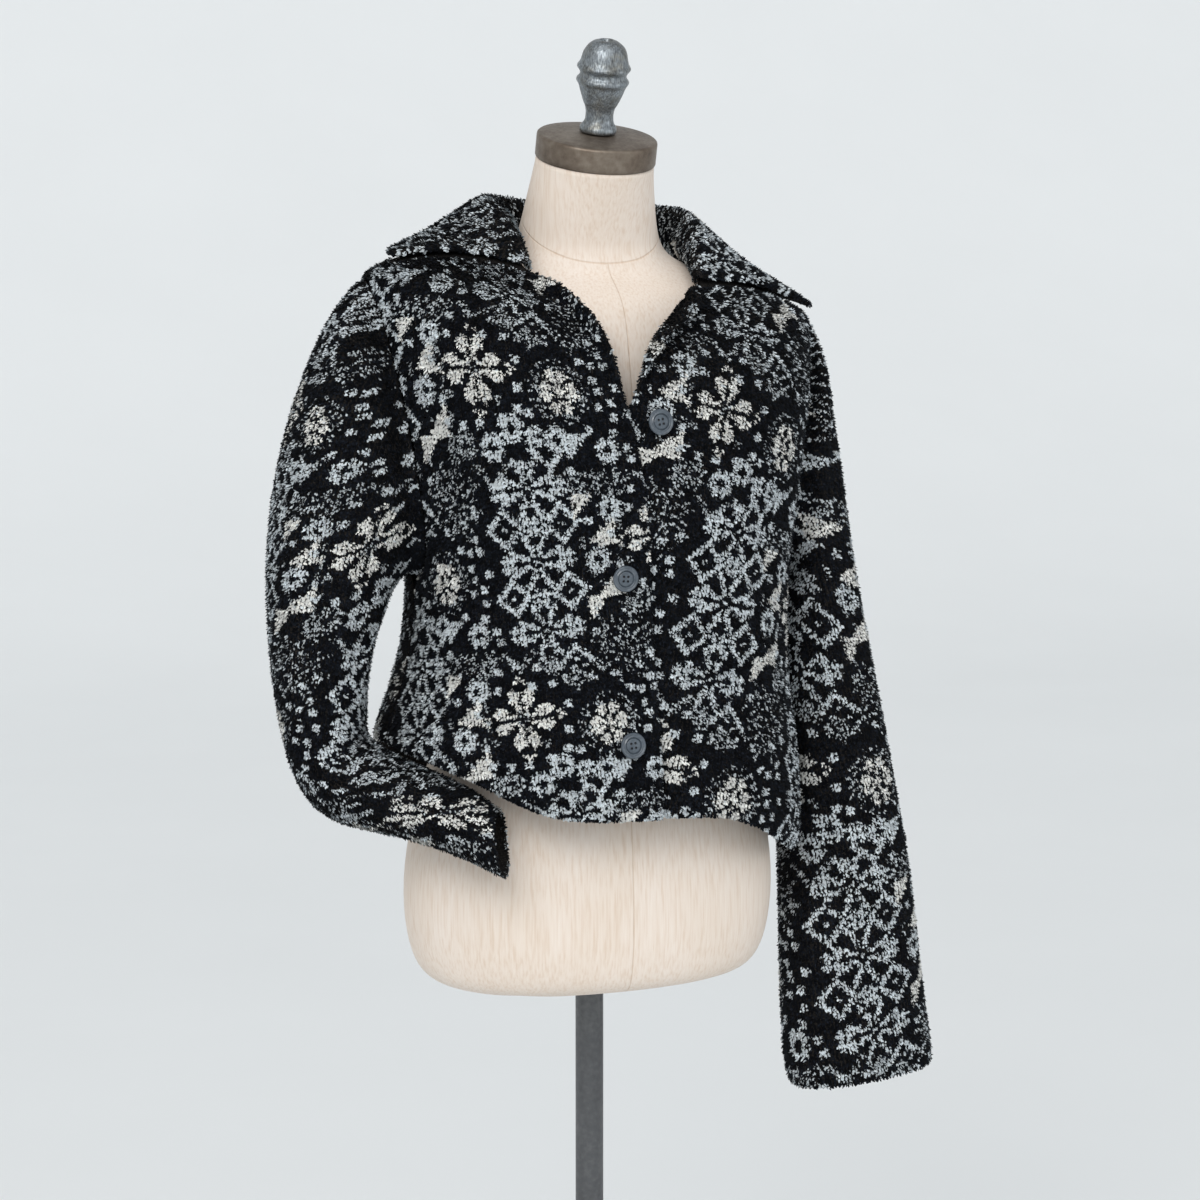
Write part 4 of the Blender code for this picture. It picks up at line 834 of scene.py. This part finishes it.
def cover_material():
    """Cream cotton stretched over the form: an upright grain, a fine weave, and the sewn lines at the neck's foot
    and the middle front."""
    made, tree, shader = new_material("Cream cotton cover")
    grain = stretched_noise(tree, (520.0, 520.0, 26.0))
    tone = ramp(tree, grain,
                ((0.3, (0.7, 0.585, 0.49)), (0.5, (0.76, 0.668, 0.59)), (0.72, (0.79, 0.71, 0.64))))
    broad = ramp(tree, stretched_noise(tree, (14.0, 14.0, 6.0), 2.0), ((0.3, (0.95, 0.93, 0.9)), (0.7, 1.0)))
    place, part = tree.nodes.new("ShaderNodeTexCoord"), tree.nodes.new("ShaderNodeSeparateXYZ")
    tree.links.new(place.outputs["Object"], part.inputs["Vector"])
    x, y, z = (part.outputs[k] for k in range(3))
    rise = math_node(tree, "MULTIPLY_ADD", y, -NECK_SLOPE, z)
    from_seam = math_node(tree, "ABSOLUTE", math_node(tree, "SUBTRACT", rise, NECK_SEAM))
    neck_line = value_range(tree, from_seam, 0.0, NECK_LINE_WIDTH, 1.0, 0.0)
    middle_line = value_range(tree, math_node(tree, "ABSOLUTE", x), 0.0, MIDDLE_LINE_WIDTH, 1.0, 0.0)
    middle_line = math_node(tree, "MULTIPLY", middle_line, math_node(tree, "LESS_THAN", rise, NECK_SEAM))
    seams = math_node(tree, "MAXIMUM", neck_line, middle_line)
    darker = ramp(tree, seams, ((0.0, 1.0), (1.0, (0.86, 0.78, 0.71))))
    weave = bump(tree, stretched_noise(tree, (1500.0, 1500.0, 900.0), 1.0), 0.22, 0.0003)
    set_inputs(tree, shader, {
        "Base Color": product(tree, product(tree, tone, broad), darker),
        "Normal": bump(tree, math_node(tree, "SUBTRACT", 1.0, seams), 0.6, 0.0006, weave),
        "Roughness": value_range(tree, grain, 0.3, 0.7, 0.72, 0.86),
        "Specular IOR Level": 0.22, "Sheen Weight": 0.12, "Sheen Roughness": 0.5,
    })
    return made


def pewter_material():
    """The finial: cast blue-grey metal with a pitted, streaky skin, pale where it is rubbed and stained brown."""
    made, tree, shader = new_material("Cast pewter")
    streak = stretched_noise(tree, (900.0, 900.0, 210.0), 4.0)
    tone = ramp(tree, streak,
                ((0.3, (0.11, 0.122, 0.135)), (0.5, (0.225, 0.25, 0.27)), (0.66, (0.345, 0.375, 0.39))))
    stain = ramp(tree, mottled(tree, 190.0, 55.0), ((0.36, (0.72, 0.66, 0.58)), (0.56, 1.0)))
    pits = bump(tree, mottled(tree, 1100.0, 320.0), 0.55, 0.0007)
    set_inputs(tree, shader, {
        "Base Color": product(tree, tone, stain),
        "Normal": bump(tree, streak, 0.25, 0.0004, pits),
        "Roughness": value_range(tree, mottled(tree, 500.0, 90.0), 0.35, 0.65, 0.3, 0.52),
        "Metallic": 0.85,
    })
    return made


def noise_of(tree, sizes):
    """A mottle by its two sizes, or drawn-out noise by its three scales."""
    return mottled(tree, *sizes) if len(sizes) == 2 else stretched_noise(tree, sizes)


def surface(name, tone, stops, relief, rough, **uniform):
    """A material with a clouded tone, a relief and an uneven roughness, each by the sizes of its noise."""
    made, tree, shader = new_material(name)
    set_inputs(tree, shader, {
        "Base Color": ramp(tree, noise_of(tree, tone), stops),
        "Normal": bump(tree, noise_of(tree, relief[0]), *relief[1:]),
        "Roughness": value_range(tree, noise_of(tree, rough[0]), 0.3, 0.7, *rough[1:]),
    })
    set_inputs(tree, shader, {key.replace("_", " "): value for key, value in uniform.items()})
    return made


def bronze_material():
    """The neck's cap: brown bronze, brushed round, rubbed paler in places."""
    brushed = (420.0, 420.0, 2600.0)
    return surface(
        "Brown bronze", (160.0, 28.0),
        ((0.3, (0.115, 0.086, 0.065)), (0.5, (0.18, 0.145, 0.114)), (0.68, (0.25, 0.212, 0.172))),
        (brushed, 0.1, 0.0002), (brushed, 0.4, 0.58), Metallic=0.75)


def button_material():
    """Moulded slate-blue resin, faintly clouded, with a soft polish."""
    return surface(
        "Slate resin", (420.0, 130.0),
        ((0.3, (0.04, 0.052, 0.068)), (0.52, (0.066, 0.084, 0.104)), (0.7, (0.1, 0.122, 0.145))),
        ((1500.0, 300.0), 0.1, 0.0002), ((300.0, 90.0), 0.26, 0.4), Coat_Weight=0.25, Coat_Roughness=0.22)


def iron_material():
    """The stand: iron in a dull graphite paint with a fine orange peel, a little worn."""
    return surface(
        "Graphite painted iron", (220.0, 12.0),
        ((0.28, (0.06, 0.062, 0.066)), (0.52, (0.085, 0.088, 0.093)), (0.74, (0.125, 0.128, 0.132))),
        ((900.0, 260.0), 0.18, 0.0003), ((260.0, 20.0), 0.36, 0.52), Metallic=0.35)


def thread_material():
    made, tree, shader = new_material("Dark sewing thread")
    twist = stretched_noise(tree, (1600.0, 1600.0, 1600.0))
    set_inputs(tree, shader, {
        "Base Color": ramp(tree, twist, ((0.3, (0.01, 0.009, 0.011)), (0.7, (0.05, 0.042, 0.046)))),
        "Normal": bump(tree, twist, 0.5, 0.0002), "Roughness": 0.8,
    })
    return made


NECK_SLOPE = 0.75
NECK_SEAM = 1.3890  # height of the neck's sewn line, less its slope towards the back
NECK_LINE_WIDTH, MIDDLE_LINE_WIDTH = 0.0009, 0.0008
CAP_FOOT, CAP_LEAN = Vector((0.0, 0.004, 1.458)), math.radians(14.7)
CAP_AXIS = Vector((0.0, -math.sin(CAP_LEAN), math.cos(CAP_LEAN)))
# The rings of each turned piece, from its foot up: radius and height in millimetres
CAP_RINGS = (
    (50, 0), (51.8, 0.4), (52.5, 1.6), (52.5, 7), (52.5, 14), (52.5, 18.8), (52.2, 20.1), (51.2, 21), (49, 21.4),
    (34.5, 23), (23, 23.8), (20, 24),
)
FINIAL_FOOT = CAP_FOOT + CAP_AXIS * 0.0243
FINIAL_RINGS = (
    (15, 0), (16.2, 1.4), (16.4, 3.6), (15.8, 5.8), (14.2, 8), (12.6, 10.4), (12, 14), (12.1, 18), (12.7, 21.5),
    (13.8, 24.2), (14.8, 25.6), (15.1, 26.4), (16.6, 30.2), (18.2, 34), (19.4, 37.8), (20.2, 40.4), (21, 42.2),
    (22.4, 43.8), (23.1, 45.4), (22.7, 47), (21.3, 48.6), (20.3, 50), (20.2, 51.8), (20.8, 53.4), (22.2, 55),
    (23.5, 56.6), (23.3, 58.2), (22, 59.8), (20.8, 62.2), (20.2, 65.6), (19.3, 69.2), (17.8, 72.8), (15.5, 76.2),
    (12.6, 78.8), (9.6, 80.3), (6.8, 81), (6, 80.8), (5.2, 79.5), (5, 77),
)
BUTTON_RINGS = (
    (7.8, 0), (10, 0.5), (10.9, 1.4), (11.2, 2.4), (10.9, 3.3), (10.3, 3.7), (9.7, 3.6), (9.2, 3.2), (8.7, 3.1),
    (8.2, 3.4), (7.7, 3.7), (7.3, 3.5), (7, 2.6), (6.7, 2.1), (6.4, 2.3), (6.1, 2.8), (5.6, 3), (4.6, 2.9),
)
# A hole's radius, its distance from the button's middle, and the height of the button's face
BUTTON_HOLE, BUTTON_HOLE_OUT, BUTTON_FACE = 0.0011, 0.0027, 0.0029
POLE_FOOT = Vector((0.0, 0.018, 0.0))
POLE_RINGS = (
    (11.8, 22.3), (12.5, 23), (12.5, 60), (12.5, 200), (12.5, 396), (12, 396.6), (12, 398.4), (12.5, 399),
    (12.5, 560), (12.5, 733.9), (11.8, 734.7),
)
BASE_RINGS = (
    (156, 0), (161.2, 0.6), (164.2, 2.6), (165, 5), (164.3, 7.5), (162.5, 9.3), (160, 10.1), (120, 13), (90, 13.9),
    (60, 14.8), (36, 15.7), (33, 16.8), (30.6, 19.6), (29, 21.4), (27.2, 22), (14, 22),
)


def turned(name, rings, foot, axis, sides, levels=0):
    """A turned piece: a filled circle at its foot, drawn up ring by ring along its axis."""
    bpy.ops.object.select_all(action="DESELECT")
    axis = Vector(axis).normalized()
    rings = [(wide / 1000.0, high / 1000.0) for wide, high in rings]
    radius, height = rings[0]
    bpy.ops.mesh.primitive_circle_add(
        vertices=sides, radius=radius, fill_type="NGON", location=foot + axis * height,
        rotation=UP.rotation_difference(axis).to_euler())
    piece = bpy.context.object
    piece.name = piece.data.name = name
    edit_all()
    for wider, higher in rings[1:]:
        bpy.ops.mesh.extrude_region_move(TRANSFORM_OT_translate={"value": axis * (higher - height)})
        bpy.ops.transform.resize(value=(wider / radius,) * 3, center_override=foot + axis * higher)
        radius, height = wider, higher
    bpy.ops.mesh.select_all(action="SELECT")
    bpy.ops.mesh.normals_make_consistent(inside=False)
    leave_edit()
    seat_at_origin(piece)
    if levels:
        subdivide(piece, levels)
    lone_select(piece)
    bpy.ops.object.shade_smooth_by_angle(angle=EDGE_ANGLE)
    return piece


def finish_piece(piece, node, material):
    piece.data.materials.clear()
    piece.data.materials.append(material)
    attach(piece, "root")
    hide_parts(node)


def crease_neck(cover):
    """Keeps the neck's top edge crisp under its cap."""
    bpy.ops.object.mode_set(mode="EDIT")
    bpy.ops.mesh.select_mode(type="EDGE")
    bpy.ops.mesh.select_all(action="DESELECT")
    for edge in bmesh.from_edit_mesh(cover.data).edges:
        edge.select_set(all((vertex.co - CAP_FOOT).dot(CAP_AXIS) > -0.0030 for vertex in edge.verts))
    bmesh.update_edit_mesh(cover.data)
    bpy.ops.transform.edge_crease(value=1.0)
    leave_edit()


def make_form():
    cover = rounded_copy("form_torso", "form_torso_cover", crease_neck)
    finish_piece(cover, "form_torso", cover_material())
    cap = turned("form_cap_disc", CAP_RINGS, CAP_FOOT, CAP_AXIS, 96)
    finish_piece(cap, "form_cap", bronze_material())
    finial = turned("form_finial_casting", FINIAL_RINGS, FINIAL_FOOT, CAP_AXIS, 48, 1)
    skin = bpy.data.textures.new("Casting skin", "CLOUDS")
    skin.noise_scale = 0.011
    uneven = finial.modifiers.new("Casting", "DISPLACE")
    uneven.texture, uneven.strength, uneven.mid_level = skin, 0.001, 0.5
    apply_all(finial)
    finish_piece(finial, "form_finial", pewter_material())
    iron = iron_material()
    finish_piece(turned("form_pole_tube", POLE_RINGS, POLE_FOOT, UP, 48), "form_pole", iron)
    finish_piece(turned("form_base_plate", BASE_RINGS, Vector(), UP, 128), "form_base", iron)


def place_of_button(node):
    """The foot and the axis of a packed button, from its own points."""
    places = points_of(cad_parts[node].data)
    middle = places.mean(0)
    axis = np.linalg.eigh(np.cov((places - middle).T))[1][:, 0]
    axis = -axis if axis[1] > 0.0 else axis
    return Vector(middle + axis * ((places - middle) @ axis).min()), Vector(axis)


def sewn_thread(name, start, end, axis, dark):
    """Thread that comes up through one hole and goes down through the next."""
    line = bpy.data.curves.new(name, "CURVE")
    line.dimensions = "3D"
    line.bevel_depth, line.bevel_resolution, line.resolution_u = 0.0005, 3, 6
    run = line.splines.new("NURBS")
    # Its way from hole to hole, and how far under the button's face it lies there
    stations = ((0.0, 0.0022), (0.0, 0.0012), (0.06, 0.0008),
                (0.5, 0.0007), (0.94, 0.0008), (1.0, 0.0012), (1.0, 0.0022))
    run.points.add(len(stations) - 1)
    for point, (share, under) in zip(run.points, stations):
        point.co = (*(start.lerp(end, share) + axis * (BUTTON_FACE - under)), 1.0)
    run.order_u, run.use_endpoint_u = 3, True
    lone_select(new_object(name, line))
    bpy.ops.object.convert(target="MESH")
    piece = bpy.context.object
    piece.data.shade_smooth()
    piece.data.materials.append(dark)
    return piece


def make_button(node, turn, resin, dark):
    """A packed button with its four holes drilled, turned by some degrees, and its two threads."""
    foot, axis = place_of_button(node)
    disc = turned(node + "_disc", BUTTON_RINGS, foot, axis, 64)
    side = axis.cross(UP).normalized()
    up = side.cross(axis)
    holes = [foot + (side * math.cos(a) + up * math.sin(a)) * BUTTON_HOLE_OUT
             for a in (math.radians(45.0 + turn + 90.0 * k) for k in range(4))]
    lean = UP.rotation_difference(axis).to_euler()
    for hole in holes:
        bpy.ops.object.select_all(action="DESELECT")
        bpy.ops.mesh.primitive_cylinder_add(vertices=20, radius=BUTTON_HOLE, depth=0.02, location=hole, rotation=lean)
        drill = bpy.context.object
        edit_all()
        bpy.ops.mesh.subdivide(number_cuts=1)
        leave_edit()
        cut = disc.modifiers.new("Hole", "BOOLEAN")
        cut.operation, cut.object, cut.solver = "DIFFERENCE", drill, "EXACT"
        apply_all(disc)
        bpy.data.objects.remove(drill)
    lone_select(disc)
    bpy.ops.object.shade_smooth_by_angle(angle=EDGE_ANGLE)
    finish_piece(disc, node, resin)
    for k, (start, end) in enumerate(((holes[0], holes[3]), (holes[1], holes[2]))):
        thread = sewn_thread(node + "_thread_" + str(k + 1), start, end, axis, dark)
        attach(thread, "root")


make_form()
RESIN, THREAD = button_material(), thread_material()
make_button("button_1", -10.0, RESIN, THREAD)
make_button("button_2", 4.0, RESIN, THREAD)
make_button("button_3", -6.0, RESIN, THREAD)


# ---- room, light and camera
FLOOR_MIDDLE, FLOOR_HALF = (0.0, -14.0, 0.0), (40.0, 26.0)
WALL_HEIGHT, TURN_UP = 12.0, 6.0


def pick_edge(piece, wanted):
    """Selects, in edit mode, the edges along x whose middle is wanted."""
    bpy.ops.mesh.select_all(action="DESELECT")
    bpy.ops.mesh.select_mode(type="EDGE")
    for edge in bmesh.from_edit_mesh(piece.data).edges:
        a, b = (piece.matrix_world @ vertex.co for vertex in edge.verts)
        if max(abs(a.y - b.y), abs(a.z - b.z)) < 0.001 and wanted((a + b) / 2.0):
            edge.select_set(True)
    bmesh.update_edit_mesh(piece.data)


def paint(name, colour, roughness):
    """A flat colour, a trace darker and lighter in broad clouds."""
    made, tree, shader = new_material(name)
    low, high = tuple(c * 0.985 for c in colour), tuple(min(1.0, c * 1.01) for c in colour)
    tone = ramp(tree, mottled(tree, 2.0, 0.6), ((0.3, low), (0.7, high)))
    set_inputs(tree, shader, {"Base Color": tone, "Roughness": roughness})
    return made


def make_room():
    """A pale floor that turns up into a pale wall far behind."""
    bpy.ops.object.select_all(action="DESELECT")
    bpy.ops.mesh.primitive_plane_add(size=2.0, location=FLOOR_MIDDLE)
    floor = bpy.context.object
    floor.name = floor.data.name = "studio_floor"
    edit_all()
    bpy.ops.transform.resize(value=(*FLOOR_HALF, 1.0), center_override=FLOOR_MIDDLE)
    near_wall = FLOOR_MIDDLE[1] + FLOOR_HALF[1] - 1.0
    pick_edge(floor, lambda middle: middle.y > near_wall)
    bpy.ops.mesh.extrude_edges_move(TRANSFORM_OT_translate={"value": (0.0, 0.0, WALL_HEIGHT)})
    pick_edge(floor, lambda middle: middle.y > near_wall and middle.z < 0.01)
    bpy.ops.mesh.bevel(offset=TURN_UP, segments=24)
    leave_edit()
    seat_at_origin(floor)
    floor.data.shade_smooth()
    floor.data.materials.append(paint("Pale studio paint", (0.824, 0.843, 0.85), 0.9))


def turn_to(thing, way):
    thing.rotation_mode = "QUATERNION"
    thing.rotation_quaternion = Vector(way).to_track_quat("-Z", "Y")


def area_light(name, place, aim, size, power, colour):
    data = bpy.data.lights.new(name, "AREA")
    data.shape, data.size, data.energy, data.color = "DISK", size, power, colour
    lamp = new_object(name, data)
    lamp.location = place
    turn_to(lamp, Vector(aim) - Vector(place))


def make_light():
    world = bpy.data.worlds.new("Studio")
    bpy.context.scene.world = world
    world.use_nodes = True
    tree = world.node_tree
    set_inputs(tree, tree.nodes["Background"], {"Color": (0.965, 0.985, 1.0, 1.0), "Strength": 0.53})
    area_light("Key", (-2.4, -3.0, 3.4), (0.0, 0.0, 1.1), 1.8, 60.0, (1.0, 0.985, 0.96))
    area_light("Fill", (3.2, -2.2, 2.0), (0.0, 0.0, 1.0), 2.4, 22.0, (0.95, 0.98, 1.0))
    data = bpy.data.lights.new("Ceiling", "SUN")
    data.energy, data.angle, data.color = 1.22, math.radians(70.0), (0.985, 0.995, 1.0)
    turn_to(new_object("Ceiling", data), (0.28, 0.72, -0.63))


def make_camera():
    data = bpy.data.cameras.new("Photo camera")
    data.sensor_fit, data.sensor_width, data.lens = "HORIZONTAL", SENSOR, LENS
    data.clip_start, data.clip_end = 0.05, 60.0
    camera = new_object("Photo camera", data)
    a, e = math.radians(AZIMUTH), math.radians(ELEVATION)
    back = Vector((math.sin(a) * math.cos(e), -math.cos(a) * math.cos(e), math.sin(e)))
    camera.location = AIM + back * DISTANCE
    turn_to(camera, -back)
    bpy.context.scene.camera = camera


make_room()
make_light()
make_camera()
bpy.context.scene.view_settings.view_transform = "Standard"
